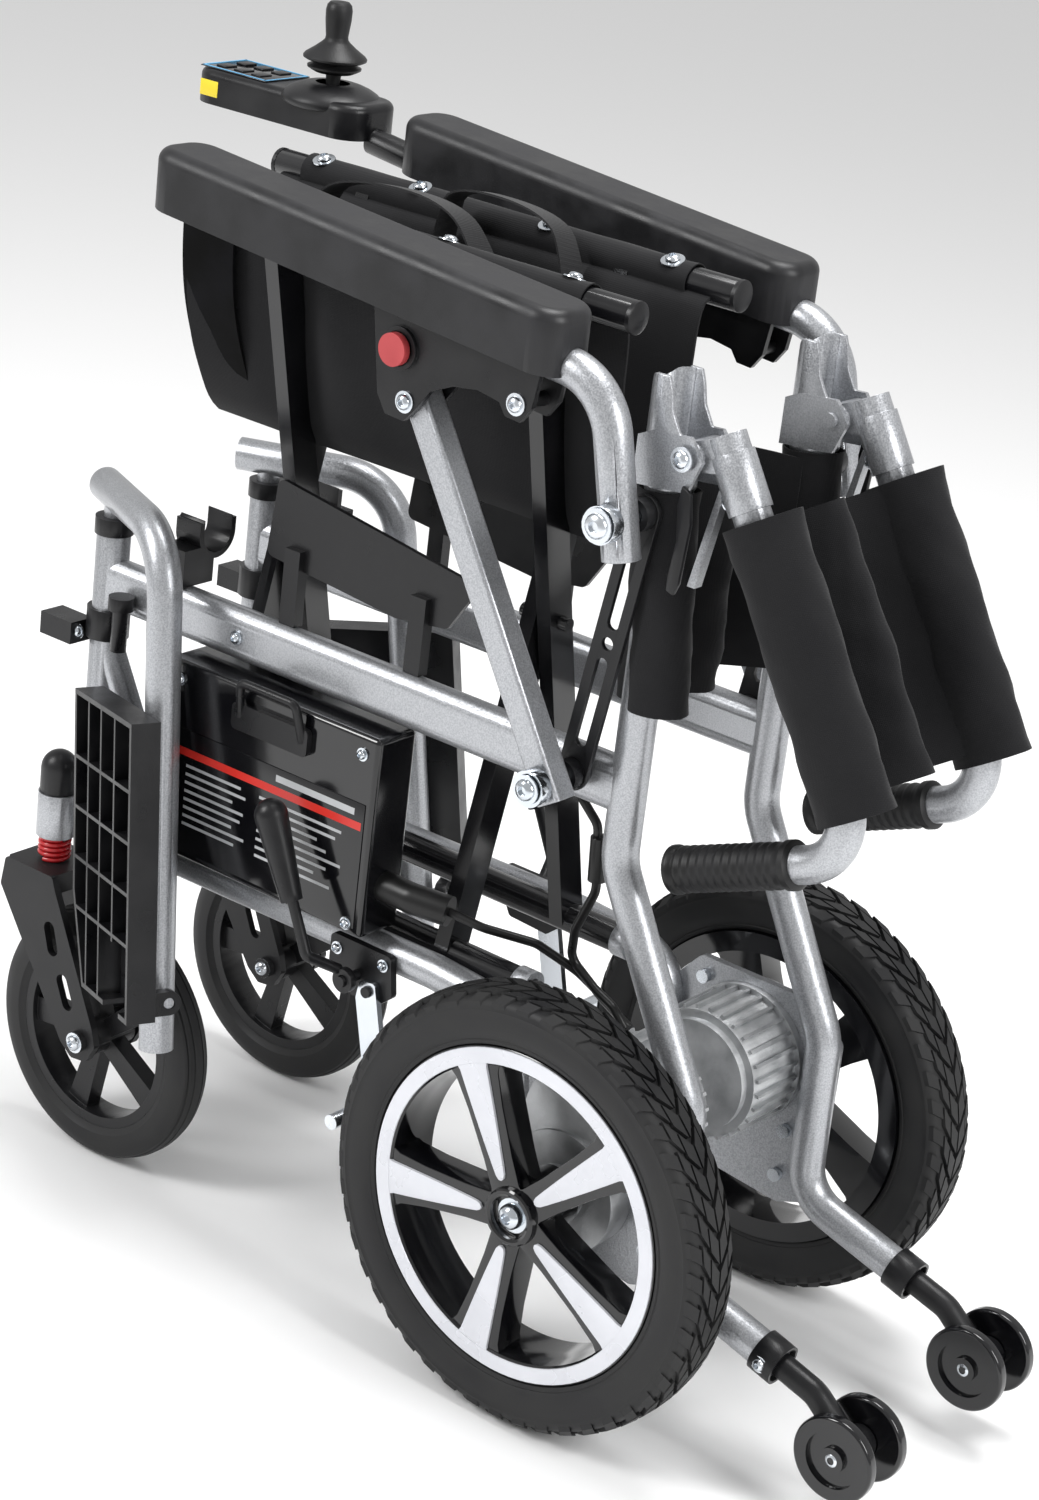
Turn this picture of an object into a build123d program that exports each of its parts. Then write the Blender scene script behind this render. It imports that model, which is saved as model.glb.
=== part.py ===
from build123d import *
import math
import os

# Folding power wheelchair, modelled folded for storage.
# X points to the sitter's left, Y to the rear, Z up. While the parts are drawn, Y = 0 is the
# drive axle and Z = 0 the floor; place() moves the origin under the middle of the whole chair.

# Overall layout
frame_x = 82.0              # half the distance between the two side frames when folded
drive_radius = 157.5        # 12.5 inch drive wheel
caster_radius = 100.0       # 8 inch caster
clearance = 0.3             # between parts that move on each other
seat_gap = 0.2              # between a fixed part and the face it rests on

# Tubes
tube_d = 25.4
tube_wall = 2.0
rail_w = 22.0
rail_h = 38.0

# Side frame
post_y = -490.0
post_bottom = 236.0
post_top = 482.0
upper_rail_z = 445.0
lower_rail_z = 252.0
upright_y = -8.0
upright_top = 655.0
upright_path = [(-8, 392), (73, 240), (76, 118), (172, 92)]
upright_bends = [45, 45, 34]
axle_plate_x = frame_x + 3.0
axle_plate_t = 6.0

# Drive wheel and motor
wheel_x = frame_x + 64.0
tyre_width = 46.0
rim_radius = 112.0
rim_lip = 119.0
hub_radius = 22.0
axle_radius = 7.0
spoke_count = 5
motor_y = 8.0
motor_z = 205.0
motor_radius = 47.0
motor_inner_x = frame_x - 60.0
fin_count = 28
fin_height = 3.0

# Caster
caster_x = frame_x + 22.0
caster_y = -508.0
caster_trail = 66.0
caster_tyre_width = 30.0
caster_rim_radius = 74.0
caster_hub_radius = 14.0
caster_axle_radius = 5.0
stem_radius = 6.0
barrel_radius = 15.0
barrel_bottom = 241.0
barrel_top = 276.0
fork_top = 221.0
fork_gap = 21.0             # half the width between the fork's legs
fork_leg_t = 6.0

# Cross brace: equal arms pinned at their middle
pivot_x = frame_x - 24.0
pivot_z = 262.0
seat_z = 745.0              # seat tube height, folded
seat_z_open = 500.0         # seat tube height, unfolded, in its saddles
seat_tube_d = 22.0
seat_front = -482.0
seat_rear = -66.0
brace_front = -392.0
brace_rear = -158.0
brace_w = 24.0
brace_t = 12.0
stub_radius = 7.0

# Armrest
arm_x = frame_x + 45.0
arm_pivot = (-10.0, 638.0)
strut_pivot = (-40.0, 450.0)
strut_top = (-188.0, 690.0)
arm_plate_x = frame_x + 18.0
arm_plate_t = 4.0
arm_plate_w = 24.0
pad_width = 52.0
pad_height = 42.0
pad_front = (-415.0, 750.0)
pad_rear = (-60.0, 718.0)
strut_w = 20.0
button_at = (-188.0, 706.0)

# Swing-away leg rest, stored: turned back and outwards by hanger_angle
hanger_angle = 25.0
hanger_z = 512.0
hanger_reach = 102.0
hanger_foot = (158.0, 138.0)
hanger_bend = 50.0
leg_pin_radius = tube_d / 2 - tube_wall - 2.2
footplate_length = 212.0
footplate_width = 118.0
footplate_depth = 22.0

# Folding back
back_pivot = (14.0, 680.0)
back_fold = 148.7           # degrees between the raised and the folded back
cane_length = 274.0
cane_bend = 36.0
grip_end = (36.0, 402.0)
grip_radius = 15.5
grip_length = 100.0

# Brake
brake_pivot = (-47.5 - drive_radius, 238.0)
shoe_pivot = (-32.5 - drive_radius, 232.0)

# Anti-tip wheel
tip_axle = (236.0, 57.0)
tip_radius = 30.5
tip_gap = 14.0

# Battery
battery_x = (frame_x - 9.5, frame_x + 30.5)
battery_y = (-398.0, -196.0)
battery_z = (272.0, 422.0)

# Controller
controller_y = (-618.0, -452.0)
controller_z = 762.0
joystick_y = -500.0
joystick_z = controller_z + 18.0
gimbal_pin = 1.5
mount_radius = 10.0


def yz(x=0.0):
    # A drawing plane across the chair: its x is the chair's Y and its y the chair's Z
    return Plane(origin=(x, 0, 0), x_dir=(0, 1, 0), z_dir=(1, 0, 0))


def disc(x_from, x_to, at, radius, bore=0.0):
    # A round piece on an axis along X
    face = Pos(at[0], at[1]) * Circle(radius)
    if bore:
        face -= Pos(at[0], at[1]) * Circle(bore)
    return extrude(yz(x_from) * face, amount=x_to - x_from)


def plate(points, x_from, x_to, corner=0.0):
    face = make_face(Polyline(*points, close=True))
    if corner:
        face = fillet(face.vertices(), corner)
    return extrude(yz(x_from) * face, amount=x_to - x_from)


def post(x, y, z_from, z_to, radius, bore=0.0):
    face = Circle(radius)
    if bore:
        face -= Circle(bore)
    return extrude(Plane(origin=(x, y, z_from)) * face, amount=z_to - z_from)


def bar_y(x, z, y_from, y_to, radius, bore=0.0):
    # A round piece on an axis along Y
    face = Circle(radius)
    if bore:
        face -= Circle(bore)
    return extrude(Plane(origin=(x, y_from, z), z_dir=(0, 1, 0)) * face, amount=y_to - y_from)


def route(points, bends):
    if len(points) == 2:
        return Line(*points)
    return FilletPolyline(*points, radius=bends)


def tube(points, bends=0.0, diameter=tube_d, wall=tube_wall):
    path = route(points, bends)
    start = Plane(origin=path @ 0, z_dir=path % 0)
    section = Circle(diameter / 2)
    if wall:
        section -= Circle(diameter / 2 - wall)
    return sweep(start * section, path=path)


def rod(points, radius, bends=0.0):
    return tube(points, bends, 2 * radius, 0.0)


def block(x, y, z, corner=0.0):
    # A box from three (low, high) pairs
    size = (x[1] - x[0], y[1] - y[0], z[1] - z[0])
    middle = ((x[0] + x[1]) / 2, (y[0] + y[1]) / 2, (z[0] + z[1]) / 2)
    shape = Pos(*middle) * Box(*size)
    if corner:
        shape = fillet(shape.edges().filter_by(Axis.X), corner)
    return shape


def along(start, end, distance):
    length = math.dist(start, end)
    return tuple(a + (b - a) * distance / length for a, b in zip(start, end))


# ---- Cross brace geometry ----

brace_rise = seat_z - pivot_z
brace_lean = math.atan2(2 * pivot_x, brace_rise)
brace_length = math.hypot(2 * pivot_x, brace_rise)
brace_lean_open = math.acos((seat_z_open - pivot_z) / brace_length)
brace_travel = brace_lean_open - brace_lean
fold_travel = brace_length * math.sin(brace_lean_open) - 2 * pivot_x
centre_z = pivot_z + brace_rise / 2


def brace_bar(y, lean_to):
    # One hollow arm from the foot at x = -lean_to * pivot_x up to x = lean_to * pivot_x
    length = brace_length
    outer = Box(brace_w, brace_t, length)
    inner = Box(brace_w - 4, brace_t - 4, length + 1)
    turned = Rot(0, lean_to * math.degrees(brace_lean), 0)
    return Pos(0, y, centre_z) * turned * (outer - inner)


def brace(lean_to, shift):
    # lean_to = -1: foot on the left frame, seat tube on the right; +1: the other way
    foot_x = -lean_to * pivot_x
    head_x = lean_to * pivot_x
    bars = [brace_bar(y + shift, lean_to) for y in (brace_front, brace_rear)]
    seat = bar_y(head_x, seat_z, seat_front, seat_rear, seat_tube_d / 2)
    foot = bar_y(foot_x, pivot_z, -402, -96, seat_tube_d / 2)
    stubs = bar_y(foot_x, pivot_z, -418, -78, stub_radius)
    hollow = bar_y(head_x, seat_z, seat_front - 1, seat_rear + 1, seat_tube_d / 2 - 1.8)
    frame = bars[0] + bars[1] + seat + foot + stubs
    frame -= hollow
    bolt = bar_y(0, centre_z, -420, -120, 5 if lean_to < 0 else 5 + clearance)
    pins = [bar_y(0, centre_z, y - 14, y + 27, 5) for y in (brace_front, brace_rear)]
    frame -= bolt
    if lean_to < 0:
        frame = frame + pins[0] + pins[1]
    return frame


def sling_half(lean_to):
    # The seat cloth's share that hangs beside one brace's upper arms
    offset = brace_w / 2 + 3.2
    low, high = 84.0, 226.0
    sheet = Box(3.6, 396, high - low)
    turned = Rot(0, lean_to * math.degrees(brace_lean), 0)
    return Pos(0, -282, centre_z) * turned * Pos(-lean_to * offset, 0, (low + high) / 2) * sheet


# ---- Side frame ----

def hinge_casting():
    y, z = back_pivot
    base = post(frame_x, upright_y, upright_top - 5, z - 10, 16.0)
    trough = post(frame_x, upright_y, z - 10, z + 48, 19.0, 15.4)
    trough -= block((frame_x - 30, frame_x + 30), (upright_y - 2, upright_y + 30), (z - 12, z + 60))
    crown = plate([(-40, z + 20), (-40, z + 60), (0, z + 60), (0, z + 49), (-20, z + 46)],
                  frame_x - 30, frame_x + 30)
    cheeks = [(-24, z - 26), (18, z - 22), (y + 13, z), (y + 2, z + 14), (-12, z + 12), (-24, z + 6)]
    cheek = plate(cheeks, frame_x - 19, frame_x - 15.5) + plate(cheeks, frame_x + 15.5, frame_x + 19)
    pin = disc(frame_x - 22, frame_x + 22, back_pivot, 5.0)
    return base + trough - crown + cheek + pin


def brace_clamps():
    clamps = []
    for low, high in ((-416, -403), (-95, -82)):
        ring = bar_y(pivot_x, pivot_z, low, high, 12.5)
        arm = block((pivot_x, frame_x), (low, high), (pivot_z - 10, pivot_z + 6))
        clamps.append(ring + arm - bar_y(pivot_x, pivot_z, low - 1, high + 1, stub_radius + clearance))
    return clamps


def axle_plate():
    outline = [(-66, 232), (-68, 132), (-34, 108), (52, 100), (84, 112), (84, 238), (48, 262), (-40, 262)]
    sheet = plate(outline, axle_plate_x, axle_plate_x + axle_plate_t, 8)
    low, high = axle_plate_x - 5, axle_plate_x + axle_plate_t + 5
    return sheet - disc(low, high, (0, drive_radius), 12) - disc(low, high, (motor_y, motor_z), 20)


def caster_barrel():
    barrel = post(caster_x, caster_y, barrel_bottom, barrel_top, barrel_radius)
    middle = ((caster_x + frame_x) / 2, (caster_y + post_y) / 2, 258)
    turn = math.degrees(math.atan2(caster_y - post_y, caster_x - frame_x))
    web = Pos(*middle) * Rot(0, 0, turn) * Box(26, 16, 30)
    return barrel + web


def upper_rail(inset):
    # The oval seat-side rail; inset shrinks its section
    section = RectangleRounded(rail_w - 2 * inset, rail_h - 2 * inset, rail_w / 2 - 0.6 - inset)
    start = Plane(origin=(frame_x, post_y, upper_rail_z), x_dir=(1, 0, 0), z_dir=(0, 1, 0))
    return extrude(start * section, amount=upright_y - post_y)


def side_frame():
    low = post_bottom
    front = post(frame_x, post_y, low, post_top, tube_d / 2)
    rail = upper_rail(0.0) - upper_rail(tube_wall)
    lower = tube([(frame_x, post_y, lower_rail_z), (frame_x, -150, lower_rail_z + 4),
                  (frame_x, -66, lower_rail_z - 2), (frame_x, -53, 150)], [90, 34])
    stay = tube([(frame_x, post_y, 402), (frame_x, -408, lower_rail_z + 4)], 0, 20.0)
    upright = tube([(frame_x, upright_y, upright_top)] + [(frame_x, y, z) for y, z in upright_path],
                   upright_bends)
    frame = front + rail + lower + stay + upright + caster_barrel() + axle_plate() + hinge_casting()
    for clamp in brace_clamps():
        frame += clamp
    frame -= post(frame_x, post_y, low - 1, post_top + 1, tube_d / 2 - tube_wall)
    frame -= post(caster_x, caster_y, barrel_bottom - 1, barrel_top - 4, stem_radius + clearance)
    return frame


def arm_plate():
    upper, lower = arm_pivot, strut_pivot
    length = math.dist(upper, lower)
    turn = math.degrees(math.atan2(upper[1] - lower[1], upper[0] - lower[0]))
    middle = ((upper[0] + lower[0]) / 2, (upper[1] + lower[1]) / 2)
    face = SlotCenterToCenter(length, arm_plate_w)
    face -= Pos(38, 0) * SlotCenterToCenter(44, 9)
    face -= Pos(-42, 0) * SlotCenterToCenter(56, 9)
    face -= Pos(1, 0) * Circle(4.5)
    face -= Pos(length / 2, 0) * Circle(6)
    face -= Pos(-length / 2, 0) * Circle(6)
    placed = yz(arm_plate_x) * Pos(*middle) * Rot(0, 0, turn) * face
    return extrude(placed, amount=arm_plate_t)


def motor():
    shell = disc(motor_inner_x + 6, axle_plate_x, (motor_y, motor_z), motor_radius)
    cap = disc(motor_inner_x, motor_inner_x + 6, (motor_y, motor_z), motor_radius - 6)
    flange = disc(axle_plate_x - 6, axle_plate_x, (motor_y, motor_z), motor_radius + 4)
    body = shell + cap + flange
    for index in range(fin_count):
        angle = 360 * index / fin_count
        fin = Pos(0, motor_radius, 0) * Box(48, 2 * fin_height, 2.4)
        body += Pos(motor_inner_x + 32, motor_y, motor_z) * Rot(angle, 0, 0) * fin
    return body


def gearbox():
    start = axle_plate_x + axle_plate_t
    housing = disc(start, start + 20, (motor_y, motor_z), 47) + disc(start, start + 22, (0, drive_radius), 44)
    nose = disc(start + 22, start + 26, (0, drive_radius), 20)
    shaft = disc(start, wheel_x + 20, (0, drive_radius), axle_radius)
    spigot = disc(axle_plate_x, start, (motor_y, motor_z), 18)
    return housing + nose + shaft + spigot


def saddle():
    # The cradle that takes the seat tube when the chair is open
    low, high = -434, -410
    x, z = pivot_x, seat_z_open
    inner = seat_tube_d / 2 + 3.0
    ring = bar_y(x, z, low, high, inner + 4.5)
    arms = block((x - inner - 4.5, x + inner + 4.5), (low, high), (z, z + 10))
    foot = block((x + 2, frame_x + 9), (low, high), (upper_rail_z + rail_h / 2 + seat_gap, z - 8))
    cradle = ring + arms + foot - bar_y(x, z, low - 1, high + 1, inner)
    return cradle - block((x - inner, x + inner), (low - 1, high + 1), (z, z + 30))


def latch():
    collar = post(frame_x, post_y, 402, 425, tube_d / 2 + 3.5, tube_d / 2 + seat_gap)
    nose = block((frame_x + 2, frame_x + 24), (post_y - 46, post_y - 14), (395, 412))
    return collar + nose


def release_knob():
    x = frame_x + rail_w / 2 + 9.5 + seat_gap
    return post(x, -458, 404, 436, 6.0) + post(x, -458, 436, 446, 9.5)


def barrel_dome():
    low = barrel_top + seat_gap
    side = post(caster_x, caster_y, low, low + 19, 14.0)
    ball = Pos(caster_x, caster_y, low + 19) * Sphere(14.0)
    return side + (ball & post(caster_x, caster_y, low + 10, low + 40, 20))


def tip_bar():
    y, z = tip_axle
    path = [(frame_x, 130, 103.4), (frame_x, 204, 83.3), (frame_x, y, z)]
    bar = rod(path, tube_d / 2 - tube_wall - 1.7, 22)
    eye = disc(frame_x - tip_gap + 1, frame_x + tip_gap - 1, tip_axle, 12)
    collar = tube([(frame_x, 158, 95.8), (frame_x, 176, 90.9)], 0, tube_d + 5, 2.2)
    return bar + eye - disc(frame_x - 30, frame_x + 30, tip_axle, 5.0), collar


def skirt_guard():
    low = upper_rail_z + rail_h / 2
    panel = plate([(-338, 566), (-344, 508), (-222, 497), (-176, 503), (-152, 540)],
                  frame_x - 7.5, frame_x - 3.5, 6)
    stays = [block((frame_x - 7.5, frame_x + 2), (y, y + 14), (low + seat_gap, 520)) for y in (-322, -206)]
    return panel + stays[0] + stays[1]


def brake_mount():
    outline = [(-232, 262), (-176, 262), (-172, 232), (-186, 220), (-222, 222), (-232, 240)]
    x = frame_x + tube_d / 2
    base = plate(outline, x + seat_gap, x + 6, 4)
    return base + disc(x + 6, x + 25, brake_pivot, 4.0) + disc(x + 6, x + 14, shoe_pivot, 4.0)


def frame_trim():
    bush = post(frame_x, post_y, post_top + seat_gap, post_top + 13, 14.5, leg_pin_radius + clearance)
    bar, collar = tip_bar()
    pieces = [bush, latch(), saddle(), release_knob(), barrel_dome(), bar, collar, skirt_guard(), brake_mount()]
    for at, start in ((arm_pivot, frame_x + tube_d / 2), (strut_pivot, frame_x + rail_w / 2)):
        pieces.append(disc(start + seat_gap, arm_plate_x - seat_gap, at, 9, 6 + seat_gap))
        pieces.append(disc(arm_plate_x + arm_plate_t + seat_gap, arm_x - tube_d / 2 - clearance, at, 11,
                           6 + seat_gap))
    return pieces[0].fuse(*pieces[1:])


def bolts():
    # Zinc-plated fasteners of one side frame
    found = [disc(arm_plate_x - 5, arm_x + tube_d / 2 + 12, arm_pivot, 6)]
    found.append(disc(arm_plate_x - 7, arm_x + tube_d / 2 + 12, strut_pivot, 6))
    for at in (arm_pivot, strut_pivot):
        found.append(disc(arm_x + tube_d / 2 + 1, arm_x + tube_d / 2 + 11, at, 12.5, 6))
    for at in ((52, 158), (50, 122), (-34, 248)):
        found.append(disc(axle_plate_x - 5 - seat_gap, axle_plate_x - seat_gap, at, 5))
    return found[0].fuse(*found[1:])


def caster_spring():
    low, high = fork_top + clearance, barrel_bottom
    turns = 4
    pitch = (high - low) / turns
    outline = [(stem_radius + 0.6, low), (10, low)]
    for index in range(turns):
        outline += [(13, low + pitch * (index + 0.25)), (13, low + pitch * (index + 0.75)),
                    (10, low + pitch * (index + 1))]
    outline.append((stem_radius + 0.6, high))
    face = make_face(Polyline(*[(a, b) for a, b in outline], close=True))
    return Pos(caster_x, caster_y, 0) * revolve(Plane.XZ * face, Axis.Z)


# ---- Wheels ----

def ring_section(points, x, at):
    # Turn an outline of (x offset, radius) about an axis along X
    face = make_face(Polyline(*points, close=True))
    plane = Plane(origin=(x, at[0], at[1]), x_dir=(1, 0, 0), z_dir=(0, -1, 0))
    return revolve(plane * face, Axis((x, at[0], at[1]), (1, 0, 0)))


def drive_rim():
    at = (0, drive_radius)
    face_x = 20.0
    barrel = ring_section([(-22, 104), (-22, rim_lip), (-17, rim_lip), (-14, rim_radius - clearance),
                           (14, rim_radius - clearance), (17, rim_lip), (face_x, rim_lip), (face_x, 101),
                           (10, 101), (4, 104)], wheel_x, at)
    hub = disc(wheel_x - 26, wheel_x + 20, at, hub_radius)
    rim = barrel + hub
    for index in range(spoke_count):
        arm = [(10, 12), (-10, 12), (-19, 104), (19, 104)]
        spoke = extrude(yz(wheel_x + 2) * make_face(Polyline(*arm, close=True)), amount=16)
        rim += Pos(0, 0, drive_radius) * Rot(360 * (index + 0.36) / spoke_count, 0, 0) * spoke
    return rim - disc(wheel_x - 40, wheel_x + 30, at, axle_radius + clearance)


def drive_tyre():
    half = tyre_width / 2
    r = drive_radius
    outline = [(-14, rim_radius), (-17, rim_lip + clearance), (-half, rim_lip + 8), (-half, r - 14),
               (-half + 6, r - 4), (-10, r), (10, r), (half - 6, r - 4), (half, r - 14),
               (half, rim_lip + 8), (17, rim_lip + clearance), (14, rim_radius)]
    return ring_section(outline, wheel_x, (0, drive_radius))


caster_axle = (caster_y + caster_trail, caster_radius)


def caster_rim():
    ring = ring_section([(-12, 66), (-12, caster_rim_radius), (12, caster_rim_radius), (12, 66)],
                        caster_x, caster_axle)
    rim = ring + disc(caster_x - 19, caster_x + 19, caster_axle, caster_hub_radius)
    for index in range(spoke_count):
        arm = [(7, 8), (-7, 8), (-10, 68), (10, 68)]
        spoke = extrude(yz(-7) * make_face(Polyline(*arm, close=True)), amount=14)
        rim += Pos(caster_x, *caster_axle) * Rot(360 * (index + 0.3) / spoke_count, 0, 0) * spoke
    return rim - disc(caster_x - 40, caster_x + 40, caster_axle, caster_axle_radius + clearance)


def caster_tyre():
    half, r, low = caster_tyre_width / 2, caster_radius, caster_rim_radius
    outline = [(-12, low), (-half, low + 5), (-half, r - 9), (-10, r - 2), (-5, r), (5, r),
               (10, r - 2), (half, r - 9), (half, low + 5), (12, low)]
    return ring_section(outline, caster_x, caster_axle)


def caster_fork():
    y, z = caster_axle
    leg = [(caster_y - 24, fork_top), (caster_y - 28, fork_top - 24), (y - 20, z - 8), (y - 8, z - 17),
           (y + 8, z - 15), (y + 16, z), (y + 12, z + 14), (caster_y + 30, fork_top - 10),
           (caster_y + 26, fork_top)]
    fork = block((caster_x - fork_gap - 2, caster_x + fork_gap + 2), (caster_y - 24, caster_y + 26),
                 (fork_top - 16, fork_top))
    for inner in (-fork_gap - fork_leg_t, fork_gap):
        side = plate(leg, caster_x + inner, caster_x + inner + fork_leg_t, 4)
        for far, near in (((y - 41, z + 84), (y - 33, z + 58)), ((y - 25, z + 46), (y - 13, z + 20))):
            turn = math.degrees(math.atan2(near[1] - far[1], near[0] - far[0]))
            mid = ((far[0] + near[0]) / 2, (far[1] + near[1]) / 2)
            slot = Pos(*mid) * Rot(0, 0, turn) * SlotOverall(math.dist(far, near), 11)
            side -= extrude(yz(caster_x + inner - 1) * slot, amount=fork_leg_t + 2)
        fork += side
    stem = post(caster_x, caster_y, fork_top - 4, barrel_top - 6, stem_radius)
    axle = disc(caster_x - fork_gap - fork_leg_t - 6, caster_x + fork_gap + fork_leg_t + 6, caster_axle,
                caster_axle_radius)
    heads = disc(caster_x + fork_gap + fork_leg_t, caster_x + fork_gap + fork_leg_t + 5, caster_axle, 8)
    nuts = disc(caster_x - fork_gap - fork_leg_t - 6, caster_x - fork_gap - fork_leg_t, caster_axle, 8)
    return fork + stem + axle + heads + nuts


def tip_wheels():
    pair = disc(frame_x - tip_gap - 5, frame_x + tip_gap + 5, tip_axle, 4.7)
    for side in (-1, 1):
        inner, outer = sorted((frame_x + side * tip_gap, frame_x + side * (tip_gap + 9)))
        wheel = disc(inner, outer, tip_axle, tip_radius)
        face = frame_x + side * (tip_gap + 9)
        dish = disc(min(face, face - side * 3), max(face, face - side * 3), tip_axle, 20, 9)
        pair += fillet(wheel.edges(), 2.5) - dish
    return pair


# ---- Armrest ----

def pad_line(y):
    slope = (pad_front[1] - pad_rear[1]) / (pad_front[0] - pad_rear[0])
    return pad_rear[1] + slope * (y - pad_rear[0])


arm_tube_rise = 5.0
arm_tube_bend = (-32.0, pad_line(-32.0) + arm_tube_rise)


def arm_tube():
    front = (-392.0, pad_line(-392.0) + arm_tube_rise)
    shape = tube([(arm_x, -6, 612), (arm_x, *arm_tube_bend), (arm_x, *front)], 46)
    return shape - disc(arm_x - 20, arm_x + 20, arm_pivot, 6 + clearance)


def arm_pad():
    z = [pad_line(pad_front[0]), pad_line(pad_rear[0])]
    outline = [(pad_front[0], z[0]), (pad_front[0], z[0] + pad_height), (pad_rear[0], z[1] + pad_height),
               (pad_rear[0], z[1])]
    shape = plate(outline, arm_x + 1 - pad_width / 2, arm_x + 1 + pad_width / 2)
    ends = shape.edges().filter_by(GeomType.LINE).filter_by(lambda edge: abs((edge % 0).Z) > 0.9)
    shape = fillet(ends, 20)
    top = shape.faces().sort_by(Axis.Z)[-1]
    shape = fillet(top.edges(), 9)
    channel = tube([(arm_x, pad_rear[0] + 20, pad_line(pad_rear[0] + 20) + arm_tube_rise),
                    (arm_x, -394, pad_line(-394) + arm_tube_rise)], 0, tube_d + 2 * clearance, 0)
    return shape - channel


def arm_bracket():
    outline = [(-214, pad_line(-214) - clearance), (-204, 672), (-196, 660), (-180, 659), (-172, 668),
               (-160, 684), (-142, 692), (-122, 695), (-104, 692), (-98, 684), (-86, 683), (-78, 694),
               (-74, pad_line(-74) - clearance)]
    cheeks = plate(outline, arm_x + 11.5, arm_x + 16) + plate(outline, arm_x - 16, arm_x - 11.5)
    boss = disc(arm_x + 16, arm_x + 19, button_at, 14.5)
    spacer = disc(arm_x - 16, arm_x + 16, (-90, 694), 5)
    bore = disc(arm_x, arm_x + 30, button_at, 5.4) + disc(arm_x + 16.5, arm_x + 30, button_at, 11.5)
    clear = tube([(arm_x, -60, pad_line(-60) + arm_tube_rise), (arm_x, -300, pad_line(-300) + arm_tube_rise)],
                 0, tube_d + 2 * clearance, 0)
    return cheeks + boss + spacer - bore - clear


def arm_button():
    return disc(arm_x + 20, arm_x + 25.5, button_at, 11) + disc(arm_x + 13.6, arm_x + 20, button_at, 5)


def arm_strut():
    foot = along(strut_pivot, strut_top, -14)
    length = math.dist(foot, strut_top)
    turn = math.degrees(math.atan2(strut_top[1] - foot[1], strut_top[0] - foot[0]))
    middle = ((foot[0] + strut_top[0]) / 2, (foot[1] + strut_top[1]) / 2)
    bar = Pos(arm_x, *middle) * Rot(turn, 0, 0) * Box(strut_w, length, strut_w)
    core = Pos(arm_x, *middle) * Rot(turn, 0, 0) * Box(strut_w - 3, length + 2, strut_w - 3)
    bar = fillet(bar.edges().group_by(SortBy.LENGTH)[-1], 3) - core
    return bar - disc(arm_x - 20, arm_x + 20, strut_pivot, 6 + clearance)


# ---- Leg rest ----

def stored(u, n, z):
    # A point of the stored leg rest: u back along its swing, n outwards from its tube, z up
    turn = math.radians(hanger_angle)
    x = frame_x + u * math.sin(turn) + n * math.cos(turn)
    y = post_y + u * math.cos(turn) - n * math.sin(turn)
    return (x, y, z)


hanger_lean = math.atan2(hanger_foot[0] - hanger_reach, hanger_z - hanger_foot[1])
plate_hinge = along(hanger_foot, (hanger_reach, hanger_z), 42)


def leg_hanger():
    points = [stored(-22, 0, hanger_z), stored(hanger_reach, 0, hanger_z), stored(hanger_foot[0], 0, hanger_foot[1])]
    frame = tube(points, hanger_bend)
    cap = rod([stored(-24, 0, hanger_z), stored(-20, 0, hanger_z)], tube_d / 2)
    pin = post(frame_x, post_y, 430, hanger_z - 8, leg_pin_radius)
    shape = frame + cap + pin
    hinge = plate_hinge
    for side in (-24, 24):
        end = footplate_point(side, 0, 0)
        shape += rod([stored(hinge[0], 0, hinge[1]), end], 4.0)
    return shape


def footplate_point(b, a, n):
    # From the hinge: b towards the toes, a up the tube, n outwards
    u = plate_hinge[0] + b * math.cos(hanger_lean) - a * math.sin(hanger_lean)
    z = plate_hinge[1] + b * math.sin(hanger_lean) + a * math.cos(hanger_lean)
    return stored(u, n, z)


def footplate():
    origin = footplate_point(0, 0, 0)
    toe = Vector(*footplate_point(1, 0, 0)) - Vector(*origin)
    out = Vector(*footplate_point(0, 0, 1)) - Vector(*origin)
    drawing = Plane(origin=origin, x_dir=toe, z_dir=out)
    if (drawing.y_dir.Z) < 0:
        drawing = Plane(origin=origin, x_dir=toe, z_dir=-out)
    sign = 1 if drawing.z_dir.dot(out) > 0 else -1
    low, high = 14.0, 14.0 + footplate_depth
    left, right = 34 - footplate_width, 34.0
    top = footplate_length
    outline = [(-62, -10), (34, -10), (right, 26), (right, top), (left, top), (left, 60)]
    shell = extrude(drawing * make_face(Polyline(*outline, close=True)), amount=sign * high)
    shell -= extrude(drawing * Pos(-20, 100) * Rectangle(400, 600), amount=sign * low)
    pocket = offset(make_face(Polyline(*outline, close=True)), -4)
    cut = extrude(drawing * pocket, amount=sign * (high + 1)) - extrude(drawing * Pos(-20, 100) * Rectangle(
        400, 600), amount=sign * (low + 4))
    for position in (-54, -28, 0):
        cut -= extrude(drawing * Pos(position, 100) * Rectangle(3, 300), amount=sign * high)
    for height in (48, 86, 124, 162):
        cut -= extrude(drawing * Pos(-20, height) * Rectangle(200, 3), amount=sign * high)
    shell -= cut
    notch = extrude(drawing * Pos(0, 10) * Rectangle(2 * 16, 66), amount=sign * 60)
    shell -= notch
    for side in (-1, 1):
        ear = Plane(origin=footplate_point(side * 16.4, 0, 0), x_dir=out, z_dir=toe * side)
        lug = extrude(ear * Circle(9), amount=9)
        tie_low = footplate_point(side * 20.9, 0, 0)
        tie = Plane(origin=tie_low, x_dir=toe, z_dir=out)
        lug += extrude(tie * Rectangle(9, 18), amount=low + 5)
        lug -= extrude(ear * Circle(4 + clearance), amount=30)
        shell += lug
    return shell


# ---- Folding back ----

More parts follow.
